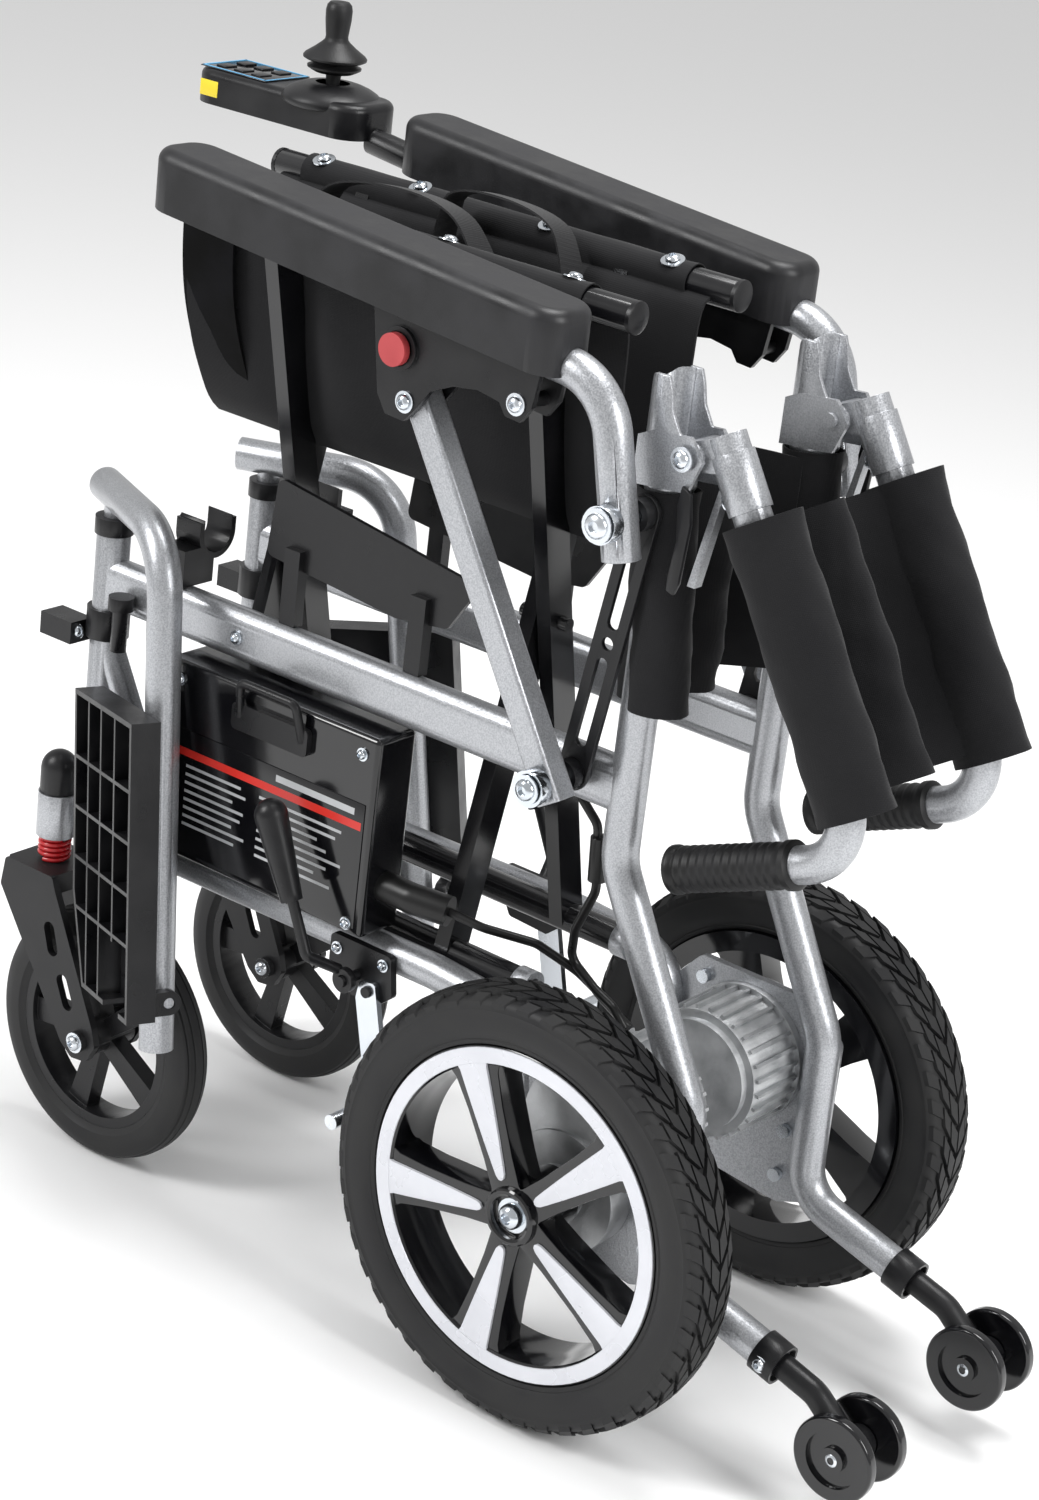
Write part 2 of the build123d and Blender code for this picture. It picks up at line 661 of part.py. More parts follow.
fold_turn = math.radians(back_fold)
cane_dir = (math.sin(fold_turn), math.cos(fold_turn))
cane_root = (back_pivot[0] - (back_pivot[0] - upright_y) * math.cos(fold_turn),
             back_pivot[1] + (back_pivot[0] - upright_y) * math.sin(fold_turn))


def cane_at(t):
    return (frame_x, cane_root[0] + t * cane_dir[0], cane_root[1] + t * cane_dir[1])


def back_cane():
    corner = cane_at(cane_length)
    end = (frame_x, *along(grip_end, corner[1:], 4))
    pipe = tube([cane_at(14), corner, end], cane_bend)
    ferrule = rod([cane_at(6), cane_at(44)], 14.6)
    head = rod([cane_at(-6), cane_at(8)], 13.0)
    y, z = back_pivot
    boss = disc(frame_x - 14.8, frame_x + 14.8, back_pivot, 10)
    a, b = cane_at(-6), cane_at(18)
    arm = plate([(y - 2, z + 9), (a[1], a[2]), (b[1], b[2]), (y + 4, z - 9)], frame_x - 12, frame_x + 12)
    handle_a = cane_at(30)
    strip = plate([(handle_a[1] - 16, handle_a[2] - 4), (handle_a[1] - 12, handle_a[2] - 6),
                   (y + 10, z - 86), (y + 4, z - 86)], frame_x - 4, frame_x + 4)
    shape = pipe + ferrule + head + boss + arm + strip
    return shape - disc(frame_x - 30, frame_x + 30, back_pivot, 5 + clearance)


def push_grip():
    corner = cane_at(cane_length)[1:]
    near = along(grip_end, corner, grip_length)
    bore = rod([(frame_x, *along(grip_end, corner, 4)), (frame_x, *along(grip_end, corner, grip_length + 5))],
               tube_d / 2)
    return rod([(frame_x, *grip_end), (frame_x, *near)], grip_radius) - bore


def upper_back_sling():
    middle = cane_at(134)
    turn = 180 - back_fold
    sheet = Box(100, 7, 180)
    return Pos(0, middle[1], middle[2]) * Rot(turn, 0, 0) * sheet


def lower_back_sling():
    return block((-52, 52), (-46, -38), (512, 642))


# ---- Brake ----

def brake_lever():
    y, z = brake_pivot
    x = frame_x + tube_d / 2 + 6 + clearance
    eye = disc(x + 10, x + 16, brake_pivot, 9, 4 + clearance)
    low = (x + 13, y - 6, z + 6)
    path = [low, (arm_x + 12, y - 16, z + 20), (arm_x + 12, y - 36, z + 62)]
    grip_low, grip_high = (y - 34, z + 56), (y - 60, z + 112)
    length = math.dist(grip_low, grip_high)
    turn = math.degrees(math.atan2(grip_high[1] - grip_low[1], grip_high[0] - grip_low[0]))
    handle = Pos(arm_x + 12, *grip_low) * Rot(turn - 90, 0, 0) * Pos(0, 0, length / 2) * Cone(8, 12, length)
    tip = Pos(arm_x + 12, *grip_high) * Sphere(12)
    return eye + rod(path, 4.0, 6) + handle + tip


def brake_shoe():
    y, z = shoe_pivot
    x = frame_x + tube_d / 2 + 6 + clearance
    arm = plate([(y - 8, z + 6), (y + 6, z + 8), (-164, 160), (-168, 144), (-180, 144), (y - 10, z - 8)],
                x, x + 5, 3)
    bar = disc(x, wheel_x + 8, (-172, 152), 5.5)
    return arm + bar - disc(x - 5, x + 30, shoe_pivot, 4 + clearance)


# ---- Left side only ----

def battery_case():
    case = block(battery_x, battery_y, battery_z)
    return fillet(case.edges(), 4)


def battery_handle():
    y = (battery_y[0] + battery_y[1]) / 2 + 4
    x = battery_x[1] + 0.1
    grip = rod([(x + 3, y - 30, battery_z[1] - 22), (x + 9, y - 26, battery_z[1] + 6),
                (x + 9, y + 26, battery_z[1] + 6), (x + 3, y + 30, battery_z[1] - 22)], 3.2, 6)
    base = block((x, x + 5), (y - 36, y + 36), (battery_z[1] - 32, battery_z[1] - 12), 4)
    return base + grip


def wiring():
    low = battery_z[0]
    x = frame_x
    boot = rod([(x + 10, battery_y[1], low + 36), (x + 10, battery_y[1] + 26, low + 36),
                (x + 2, battery_y[1] + 54, low + 34)], 11, 14)
    lead = rod([(x + 3, -144, 306.3), (x - 3, -116, 302), (x - 24, -84, 296), (x - 40, -58, 280),
                (x - 36, -22, 268), (x - 34, -8, 257)],
               3.2, [24, 22, 18, 10])
    loop = rod([(x - 20, -64, 420), (x - 22, -44, 400), (x - 24, -40, 352), (x - 28, -56, 316),
                (x - 36, -62, 290), (x - 38, -34, 270), (x - 36, -6, 258)], 3.2, [12, 20, 18, 12, 12])
    plug = rod([(x - 22.6, -41.5, 392), (x - 23.8, -40.4, 360)], 6.5)
    return boot + lead + loop + plug


# ---- Controller on the right armrest ----

def controller_mount(radius):
    # The rod that leaves the front of the armrest tube
    front = (-392.0, pad_line(-392.0) + arm_tube_rise)
    return rod([(-arm_x, front[0] - 1, front[1]), (-arm_x, controller_y[1] - 4, front[1] + 8)], radius)


def controller_case():
    low, high = controller_z, controller_z + 26
    x = (-arm_x - 30, -arm_x + 30)
    case = block(x, controller_y, (low, high))
    case = fillet(case.edges().filter_by(Axis.Z), 22)
    case = fillet(case.faces().sort_by(Axis.Z)[-1].edges(), 6)
    dome = Pos(-arm_x, joystick_y, high - 4) * Cone(30, 15, 14)
    well = post(-arm_x, joystick_y, high - 16, high + 30, 12)
    bearings = bar_y(-arm_x, joystick_z, joystick_y - 15, joystick_y + 15, gimbal_pin + clearance)
    return case + dome + controller_mount(mount_radius) - well - bearings


def joystick_gimbal():
    # A ring that tilts sideways on two pins; the stick's own cross pin turns in its side holes
    z = joystick_z
    ring = post(-arm_x, joystick_y, z - 3, z + 3, 10.5)
    pins = bar_y(-arm_x, z, joystick_y - 14, joystick_y + 14, gimbal_pin)
    holes = disc(-arm_x - 12, -arm_x + 12, (joystick_y, z), gimbal_pin + clearance)
    return ring + pins - post(-arm_x, joystick_y, z - 4, z + 4, 8) - holes


def joystick():
    z = joystick_z
    stem = post(-arm_x, joystick_y, z - 3, z + 52, 3.5)
    stem += disc(-arm_x - 10, -arm_x + 10, (joystick_y, z), gimbal_pin)
    knob = post(-arm_x, joystick_y, z + 48, z + 76, 7)
    boot = Pos(-arm_x, joystick_y, z + 34) * Cone(15, 9, 18)
    return stem + fillet(knob.edges(), 3) + boot


def one_side():
    return {
        "side_frame": side_frame(),
        "arm_plate": arm_plate(),
        "motor": motor(),
        "gearbox": gearbox(),
        "frame_trim": frame_trim(),
        "bolts": bolts(),
        "caster_spring": caster_spring(),
        "wheel_rim": drive_rim(),
        "tyre": drive_tyre(),
        "caster_fork": caster_fork(),
        "caster_rim": caster_rim(),
        "caster_tyre": caster_tyre(),
        "tip_wheels": tip_wheels(),
        "arm_tube": arm_tube(),
        "arm_pad": arm_pad(),
        "arm_bracket": arm_bracket(),
        "arm_button": arm_button(),
        "arm_strut": arm_strut(),
        "leg_hanger": leg_hanger(),
        "footplate": footplate(),
        "back_cane": back_cane(),
        "push_grip": push_grip(),
        "brake_lever": brake_lever(),
        "brake_shoe": brake_shoe(),
    }


def all_nodes():
    nodes = {}
    for name, shape in one_side().items():
        nodes["left_" + name] = shape
        nodes["right_" + name] = mirror(shape, about=Plane.YZ)
    nodes["right_arm_pad"] -= controller_mount(mount_radius + clearance)
    nodes["brace_a"] = brace(-1, 0.0)
    nodes["brace_b"] = brace(1, brace_t + 2.0)
    nodes["seat_sling_right"] = sling_half(-1)
    nodes["seat_sling_left"] = sling_half(1)
    nodes["lower_back_sling"] = lower_back_sling()
    nodes["upper_back_sling"] = upper_back_sling()
    nodes["battery_case"] = battery_case()
    nodes["battery_handle"] = battery_handle()
    nodes["wiring"] = wiring()
    nodes["controller_case"] = controller_case()
    nodes["joystick_gimbal"] = joystick_gimbal()
    nodes["joystick"] = joystick()
    return nodes


def chair_box(nodes):
    boxes = [shape.bounding_box() for shape in nodes.values()]
    low = [min(getattr(box.min, axis) for box in boxes) for axis in "XYZ"]
    high = [max(getattr(box.max, axis) for box in boxes) for axis in "XYZ"]
    return low, high


def place(nodes):
    low, high = chair_box(nodes)
    shift = (-(low[0] + high[0]) / 2, -(low[1] + high[1]) / 2, -low[2])
    return {name: Pos(*shift) * shape for name, shape in nodes.items()}, shift


if __name__ == "__main__":
    os.makedirs("parts", exist_ok=True)
    placed, shift = place(all_nodes())
    for name, shape in placed.items():
        export_step(shape, f"parts/{name}.step")
    print("origin moved by", [round(value, 3) for value in shift])
    print("fold travel", round(fold_travel, 2), "brace travel", round(brace_travel, 5))
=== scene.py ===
import math

import bmesh
import bpy
from mathutils import Matrix, Vector


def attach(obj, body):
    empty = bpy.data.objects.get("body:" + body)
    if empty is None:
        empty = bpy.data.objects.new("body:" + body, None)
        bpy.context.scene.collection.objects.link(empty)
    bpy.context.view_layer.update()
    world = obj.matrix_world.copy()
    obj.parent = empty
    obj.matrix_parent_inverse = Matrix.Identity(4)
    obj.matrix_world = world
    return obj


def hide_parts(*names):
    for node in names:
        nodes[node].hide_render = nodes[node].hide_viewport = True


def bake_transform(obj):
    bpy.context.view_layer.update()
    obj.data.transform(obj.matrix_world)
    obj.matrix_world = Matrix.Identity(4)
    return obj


# A folded power wheelchair. X points to the sitter's left, Y to the rear, Z up, in metres.
# Sizes in the dictionaries are millimetres, with Y counted from the drive axle.

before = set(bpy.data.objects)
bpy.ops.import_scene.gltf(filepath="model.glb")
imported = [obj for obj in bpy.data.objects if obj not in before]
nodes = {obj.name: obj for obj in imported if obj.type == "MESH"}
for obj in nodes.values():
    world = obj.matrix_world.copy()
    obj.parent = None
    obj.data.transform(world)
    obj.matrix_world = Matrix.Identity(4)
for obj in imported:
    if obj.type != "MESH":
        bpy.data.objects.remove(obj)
axleY = 0.17575  # where the drive axle lies in the frame
pair = (("left", 1), ("right", -1))

# How far each row of pieces stands from the middle of the folded chair
frameX = 82
braceX = frameX - 24
casterX = frameX + 22
armX = frameX + 45
wheelX = frameX + 64
axleZ = 157.5


def writeSize():
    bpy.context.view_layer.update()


writeSize()
print("stage: frame loaded")


def pt(x, y, z):
    return Vector((x / 1000, y / 1000 + axleY, z / 1000))


def smooth(mesh, angle=32):
    for face in mesh.polygons:
        face.use_smooth = True
    mesh.set_sharp_from_angle(angle=math.radians(angle))


def piece(name, bm, mat, body=None, angle=32, replaces=()):
    bmesh.ops.recalc_face_normals(bm, faces=bm.faces)
    mesh = bpy.data.meshes.new(name)
    bm.to_mesh(mesh)
    bm.free()
    smooth(mesh, angle)
    obj = bpy.data.objects.new(name, mesh)
    bpy.context.scene.collection.objects.link(obj)
    for one in (mat if isinstance(mat, (list, tuple)) else [mat]):
        mesh.materials.append(one)
    if body:
        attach(obj, body)
    if replaces:
        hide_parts(*replaces)
    return obj


def addBox(bm, low, high, bevel=0.0):
    lo, hi = pt(*low), pt(*high)
    made = bmesh.ops.create_cube(bm, size=1)
    verts = made["verts"]
    size = hi - lo
    bmesh.ops.scale(bm, vec=size, verts=verts)
    if bevel:
        edges = {e for v in verts for e in v.link_edges}
        out = bmesh.ops.bevel(bm, geom=list(edges), offset=bevel / 1000, segments=2, profile=0.5,
                              affect="EDGES", material=-1)
        verts = list({v for f in out["faces"] for v in f.verts} | {v for v in verts if v.is_valid})
    bmesh.ops.translate(bm, vec=(lo + hi) / 2, verts=verts)


def frameAt(direction):
    # Two directions square to the one given
    d = direction.normalized()
    up = Vector((0, 0, 1))
    if abs(d.dot(up)) > 0.97:
        up = Vector((0, 1, 0))
    side = d.cross(up).normalized()
    return side, side.cross(d).normalized()


def addTube(bm, path, radius, sides=16, radii=None):
    # A round rod along a path of points
    rings = []
    side, up = frameAt(path[1] - path[0])
    for index, at in enumerate(path):
        ahead = path[min(index + 1, len(path) - 1)] - path[max(index - 1, 0)]
        d = ahead.normalized()
        side = (side - d * side.dot(d)).normalized()
        up = side.cross(d).normalized()
        r = (radii[index] if radii else radius) / 1000
        rings.append([bm.verts.new(at + side * math.cos(2 * math.pi * k / sides) * r
                                   + up * math.sin(2 * math.pi * k / sides) * r)
                      for k in range(sides)])
    for one, two in zip(rings, rings[1:]):
        for k in range(sides):
            bm.faces.new((one[k], one[(k + 1) % sides], two[(k + 1) % sides], two[k]))
    bm.faces.new(rings[0][::-1])
    bm.faces.new(rings[-1])


def addLathe(bm, profile, at, axis, steps=48, closed=False):
    # Turn a profile of (distance along the axis, radius) about an axis through at
    side = frameAt(axis)[0]
    d = axis.normalized()
    verts = [bm.verts.new(at + d * a / 1000 + side * r / 1000) for a, r in profile]
    edges = [bm.edges.new(two) for two in zip(verts, verts[1:])]
    if closed:
        edges.append(bm.edges.new((verts[-1], verts[0])))
    bmesh.ops.spin(bm, geom=verts + edges, cent=at, axis=d, angle=2 * math.pi, steps=steps,
                   use_merge=True, use_duplicate=False)
    bmesh.ops.remove_doubles(bm, verts=bm.verts, dist=1e-6)


def addPlate(bm, outline, x, thick, bevel=0.0, m=1):
    # A flat plate in the side view, drawn in (y, z) from x outwards
    face = bm.faces.new([bm.verts.new(pt(m * x, y, z)) for y, z in outline])
    made = bmesh.ops.extrude_face_region(bm, geom=[face])
    moved = [g for g in made["geom"] if isinstance(g, bmesh.types.BMVert)]
    bmesh.ops.translate(bm, vec=(m * thick / 1000, 0, 0), verts=moved)
    verts = list({v for g in made["geom"] if isinstance(g, bmesh.types.BMFace) for v in g.verts} |
                 set(face.verts))
    if bevel:
        edges = list({e for v in verts for e in v.link_edges})
        bmesh.ops.bevel(bm, geom=edges, offset=bevel / 1000, segments=2, profile=0.5, affect="EDGES",
                        material=-1)


def group(name, outputs):
    tree = bpy.data.node_groups.new(name, "ShaderNodeTree")
    for label, kind in outputs:
        tree.interface.new_socket(label, in_out="OUTPUT", socket_type=kind)
    return tree, tree.nodes, tree.links, tree.nodes.new("NodeGroupOutput")


def noiseGroup(name, scale, detail, low, high, bumpScale, strength, distance):
    # A soft mottling value and a fine bump, both on object coordinates
    tree, n, links, out = group(name, (("Value", "NodeSocketFloat"), ("Normal", "NodeSocketVector")))
    coords = n.new("ShaderNodeTexCoord")
    broad = n.new("ShaderNodeTexNoise")
    broad.inputs["Scale"].default_value = scale
    broad.inputs["Detail"].default_value = detail
    spread = n.new("ShaderNodeMapRange")
    spread.inputs["From Min"].default_value = 0.35
    spread.inputs["From Max"].default_value = 0.65
    spread.inputs["To Min"].default_value = low
    spread.inputs["To Max"].default_value = high
    fine = n.new("ShaderNodeTexNoise")
    fine.inputs["Scale"].default_value = bumpScale
    fine.inputs["Detail"].default_value = 2.0
    bump = n.new("ShaderNodeBump")
    bump.inputs["Strength"].default_value = strength
    bump.inputs["Distance"].default_value = distance
    links.new(coords.outputs["Object"], broad.inputs["Vector"])
    links.new(coords.outputs["Object"], fine.inputs["Vector"])
    links.new(broad.outputs["Fac"], spread.inputs["Value"])
    links.new(fine.outputs["Fac"], bump.inputs["Height"])
    links.new(spread.outputs["Result"], out.inputs["Value"])
    links.new(bump.outputs["Normal"], out.inputs["Normal"])
    return tree


def weaveGroup():
    # Crossed threads, with the shade between them
    tree, n, links, out = group("weave", (("Value", "NodeSocketFloat"), ("Normal", "NodeSocketVector")))
    coords = n.new("ShaderNodeTexCoord")
    waves = []
    for direction in ("Y", "Z"):
        wave = n.new("ShaderNodeTexWave")
        wave.bands_direction = direction
        wave.inputs["Scale"].default_value = 260.0
        wave.inputs["Distortion"].default_value = 0.6
        links.new(coords.outputs["Object"], wave.inputs["Vector"])
        waves.append(wave)
    mix = n.new("ShaderNodeMath")
    mix.operation = "MULTIPLY"
    bump = n.new("ShaderNodeBump")
    bump.inputs["Strength"].default_value = 0.35
    bump.inputs["Distance"].default_value = 0.0004
    wear = n.new("ShaderNodeTexNoise")
    wear.inputs["Scale"].default_value = 14.0
    wear.inputs["Detail"].default_value = 4.0
    blend = n.new("ShaderNodeMath")
    blend.operation = "MULTIPLY_ADD"
    blend.inputs[1].default_value = 0.5
    links.new(waves[0].outputs["Fac"], mix.inputs[0])
    links.new(waves[1].outputs["Fac"], mix.inputs[1])
    links.new(mix.outputs["Value"], bump.inputs["Height"])
    links.new(coords.outputs["Object"], wear.inputs["Vector"])
    links.new(mix.outputs["Value"], blend.inputs[0])
    links.new(wear.outputs["Fac"], blend.inputs[2])
    links.new(blend.outputs["Value"], out.inputs["Value"])
    links.new(bump.outputs["Normal"], out.inputs["Normal"])
    return tree


effects = {
    "hammered": noiseGroup("hammered", 900.0, 3.0, 0.0, 1.0, 420.0, 0.22, 0.0006),
    "cast": noiseGroup("cast", 60.0, 5.0, 0.0, 1.0, 700.0, 0.3, 0.0005),
    "grain": noiseGroup("grain", 30.0, 3.0, 0.0, 1.0, 1500.0, 0.25, 0.0004),
    "plain": noiseGroup("plain", 18.0, 4.0, 0.0, 1.0, 240.0, 0.03, 0.0003),
    "rubber": noiseGroup("rubber", 26.0, 6.0, 0.0, 1.0, 800.0, 0.18, 0.0004),
    "weave": weaveGroup(),
}


def material(name, effect, dark, light, rough, metal=0.0, coat=0.0, sheen=0.0, roughSpread=0.08,
             specular=0.5):
    mat = bpy.data.materials.new(name)
    mat.use_nodes = True
    n, links = mat.node_tree.nodes, mat.node_tree.links
    shader = n["Principled BSDF"]
    shader.inputs["Metallic"].default_value = metal
    shader.inputs["Specular IOR Level"].default_value = specular
    shader.inputs["Coat Weight"].default_value = coat
    shader.inputs["Coat Roughness"].default_value = 0.12
    shader.inputs["Sheen Weight"].default_value = sheen
    shader.inputs["Sheen Roughness"].default_value = 0.5
    shared = n.new("ShaderNodeGroup")
    shared.node_tree = effects[effect]
    tint = n.new("ShaderNodeMix")
    tint.data_type = "RGBA"
    tint.inputs["A"].default_value = (*dark, 1)
    tint.inputs["B"].default_value = (*light, 1)
    gloss = n.new("ShaderNodeMapRange")
    gloss.inputs["To Min"].default_value = rough - roughSpread
    gloss.inputs["To Max"].default_value = rough + roughSpread
    links.new(shared.outputs["Value"], tint.inputs["Factor"])
    links.new(shared.outputs["Value"], gloss.inputs["Value"])
    links.new(tint.outputs["Result"], shader.inputs["Base Color"])
    links.new(gloss.outputs["Result"], shader.inputs["Roughness"])
    links.new(shared.outputs["Normal"], shader.inputs["Normal"])
    return mat


silver = material("frameEnamel", "hammered", (0.33, 0.34, 0.36), (0.50, 0.51, 0.53), 0.36,
                  metal=0.78, coat=0.25)
cast = material("castAlloy", "cast", (0.42, 0.43, 0.44), (0.55, 0.56, 0.57), 0.40, metal=0.82)
zinc = material("zincPlate", "plain", (0.58, 0.62, 0.66), (0.72, 0.75, 0.79), 0.22, metal=1.0)
blackMetal = material("blackEnamel", "plain", (0.004, 0.004, 0.005), (0.008, 0.008, 0.009), 0.2,
                      coat=0.3, roughSpread=0.05, specular=0.4)
mattBlack = material("mattBlackSteel", "grain", (0.006, 0.006, 0.007), (0.012, 0.012, 0.013), 0.42,
                     specular=0.35)
plastic = material("satinPlastic", "grain", (0.005, 0.005, 0.006), (0.011, 0.011, 0.012), 0.34, specular=0.35)
armPlastic = material("grainedPlastic", "grain", (0.008, 0.008, 0.009), (0.016, 0.016, 0.018), 0.42,
                      specular=0.4)
gloss = material("glossPlastic", "plain", (0.003, 0.003, 0.004), (0.006, 0.006, 0.007), 0.12,
                 coat=0.4, roughSpread=0.04, specular=0.4)
tyreRubber = material("tyreRubber", "rubber", (0.008, 0.008, 0.009), (0.018, 0.018, 0.018), 0.58,
                      specular=0.35)
gripRubber = material("gripRubber", "grain", (0.005, 0.005, 0.005), (0.010, 0.010, 0.011), 0.46,
                      specular=0.35)
cloth = material("oxfordCloth", "weave", (0.002, 0.002, 0.003), (0.012, 0.012, 0.013), 0.8,
                 sheen=0.08, specular=0.2)
webbing = material("webbing", "weave", (0.003, 0.003, 0.004), (0.016, 0.016, 0.017), 0.6,
                   sheen=0.08, specular=0.3)
fuzzy = material("loopTape", "rubber", (0.002, 0.002, 0.002), (0.005, 0.005, 0.006), 0.95,
                 sheen=0.03, roughSpread=0.02, specular=0.1)
cable = material("cableJacket", "plain", (0.004, 0.004, 0.004), (0.008, 0.008, 0.008), 0.35, specular=0.35)
redPaint = material("redPaint", "plain", (0.42, 0.008, 0.012), (0.55, 0.016, 0.02), 0.3, coat=0.3)
redPlastic = material("redPlastic", "plain", (0.40, 0.040, 0.046), (0.50, 0.065, 0.07), 0.42)
wheelSilver = material("wheelSilver", "plain", (0.60, 0.61, 0.65), (0.68, 0.69, 0.73), 0.3,
                       metal=0.25, coat=0.2)
redInk = material("redInk", "plain", (0.55, 0.02, 0.015), (0.62, 0.03, 0.02), 0.3)
paleInk = material("paleInk", "plain", (0.40, 0.41, 0.42), (0.50, 0.51, 0.52), 0.5)
yellowInk = material("yellowInk", "plain", (0.75, 0.58, 0.02), (0.85, 0.68, 0.04), 0.4)
blueInk = material("blueInk", "plain", (0.10, 0.35, 0.60), (0.14, 0.42, 0.68), 0.4)
print("stage: materials")


# The material and slot of each CAD piece that is shown as it is
finish = {
    "side_frame": (silver, "frame_paint"), "arm_plate": (mattBlack, "black_metal"),
    "motor": (cast, "cast_metal"), "gearbox": (cast, "cast_metal"), "frame_trim": (plastic, "trim_plastic"),
    "bolts": (zinc, "zinc"), "caster_spring": (redPaint, "red_paint"), "wheel_rim": (gloss, "trim_plastic"),
    "tyre": (tyreRubber, "tyre_rubber"), "caster_fork": (mattBlack, "black_metal"),
    "caster_rim": (plastic, "trim_plastic"), "caster_tyre": (tyreRubber, "tyre_rubber"),
    "tip_wheels": (gloss, "trim_plastic"), "arm_tube": (silver, "frame_paint"),
    "arm_pad": (armPlastic, "arm_plastic"), "arm_bracket": (plastic, "trim_plastic"),
    "arm_button": (redPlastic, "red_plastic"), "arm_strut": (silver, "frame_paint"),
    "leg_hanger": (silver, "frame_paint"), "footplate": (plastic, "trim_plastic"),
    "back_cane": (silver, "frame_paint"), "push_grip": (gripRubber, "grip_rubber"),
    "brake_lever": (plastic, "trim_plastic"), "brake_shoe": (zinc, "zinc"),
}
single = {
    "brace_a": (blackMetal, "black_metal"), "brace_b": (blackMetal, "black_metal"),
    "seat_sling_right": (cloth, "cloth"), "seat_sling_left": (cloth, "cloth"),
    "lower_back_sling": (cloth, "cloth"), "upper_back_sling": (cloth, "cloth"),
    "battery_case": (gloss, "case_plastic"), "battery_handle": (plastic, "trim_plastic"),
    "wiring": (cable, "cable_jacket"), "controller_case": (plastic, "trim_plastic"),
    "joystick_gimbal": (plastic, "trim_plastic"), "joystick": (gripRubber, "grip_rubber"),
}
sharp = {"tyre", "caster_tyre", "caster_spring", "wiring", "seat_sling_right", "seat_sling_left"}
for name, obj in nodes.items():
    base = name.split("_", 1)[1] if name.split("_", 1)[0] in ("left", "right") else name
    mat, slotName = finish.get(base) or single[name]
    obj.data.materials.clear()
    obj.data.materials.append(mat)
    weld = obj.modifiers.new("weld", "WELD")
    weld.merge_threshold = 0.00001
    if base not in sharp:
        bevel = obj.modifiers.new("edges", "BEVEL")
        bevel.width = 0.0005
        bevel.segments = 2
        bevel.limit_method = "ANGLE"
        bevel.angle_limit = math.radians(34)
        bevel.harden_normals = True
        bevel.use_clamp_overlap = True
print("stage: frame finishes")


def addBolt(bm, at, axis, radius=6.0, height=4.5, washer=True):
    # A domed cap screw with a hex socket, on its washer
    d = axis.normalized()
    if washer:
        ring = [(0, radius * 0.5), (0, radius * 1.35), (1.1, radius * 1.35), (1.2, radius * 0.6)]
        addLathe(bm, ring, at, d, 20)
    head = [(1.0, radius), (height * 0.55, radius * 0.96), (height * 0.85, radius * 0.76),
            (height, radius * 0.45),
            (height * 0.5, radius * 0.42), (height * 0.5, 0.0)]
    addLathe(bm, head, at, d, 18)


def boltSet(name, body, places):
    bm = bmesh.new()
    for place in places:
        at, axis, radius = place
        addBolt(bm, pt(*at), Vector(axis), radius)
    return piece(name, bm, zinc, body, 40)


tyreSpec = {"pitches": 46, "centre": (wheelX, 0, axleZ)}


def addBlock(bm, at, m, x0, x1, low, high0, high1, t0, t1, slant=0.0):
    # One tread block between two angles, low to high in radius, with its top sloping from high0 to high1
    corners = []
    for t in (t0, t1):
        for x, low1, high in ((x0, low, high0), (x1, low, high1)):
            for r in (low1, high):
                angle = t + slant * (x - x0) / 1000
                corners.append(bm.verts.new(at + Vector((m * x / 1000, math.sin(angle) * r / 1000,
                                                         math.cos(angle) * r / 1000))))
    for quad in ((0, 1, 3, 2), (4, 6, 7, 5), (0, 4, 5, 1), (2, 3, 7, 6), (1, 5, 7, 3)):
        bm.faces.new([corners[k] for k in quad])


def driveTyre(side, m):
    x, y, z = tyreSpec["centre"]
    at = pt(m * x, y, z)
    bm = bmesh.new()
    half = [(14, 112), (17, 119.4), (19.6, 120.4), (20.6, 123), (20.2, 124), (22, 127), (23, 133), (23.1, 140),
            (22.6, 144), (22.9, 144.6), (22.3, 147), (20.8, 150), (17.5, 152.4), (10, 153.8)]
    profile = half + [(0, 154.2)] + [(-a, r) for a, r in reversed(half)]
    addLathe(bm, profile, at, Vector((1, 0, 0)), 108, closed=True)
    rows = [(-8.6, -0.9, 152.5, 157.2, 157.5, 0.0, 0.74, 9),
            (0.9, 8.6, 152.5, 157.5, 157.2, 0.5, 0.74, -9),
            (-15.4, -9.9, 151.5, 156.0, 156.9, 0.42, 0.66, 12),
            (9.9, 15.4, 151.5, 156.9, 156.0, 0.92, 0.66, -12),
            (-22.4, -16.6, 145.5, 150.4, 155.2, 0.05, 0.5, 6),
            (16.6, 22.4, 145.5, 155.2, 150.4, 0.55, 0.5, -6)]
    pitch = 2 * math.pi / tyreSpec["pitches"]
    for x0, x1, low, high0, high1, phase, duty, slant in rows:
        for index in range(tyreSpec["pitches"]):
            start = (index + phase) * pitch
            addBlock(bm, at, m, x0, x1, low, high0, high1, start, start + duty * pitch, slant)
    return piece(side + "DriveTyre", bm, tyreRubber, side + "_wheel", 34,
                 replaces=[side + "_tyre"])


rimSpec = {"spokes": 5, "turn": 25.92, "faceX": 19.5}


def spokeMatrix(at, index):
    # Local X across the wheel, Y along the turning direction, Z outwards along the spoke
    angle = math.radians(rimSpec["turn"] + 360 * index / rimSpec["spokes"])
    return Matrix.Translation(at) @ Matrix.Rotation(angle, 4, "X")


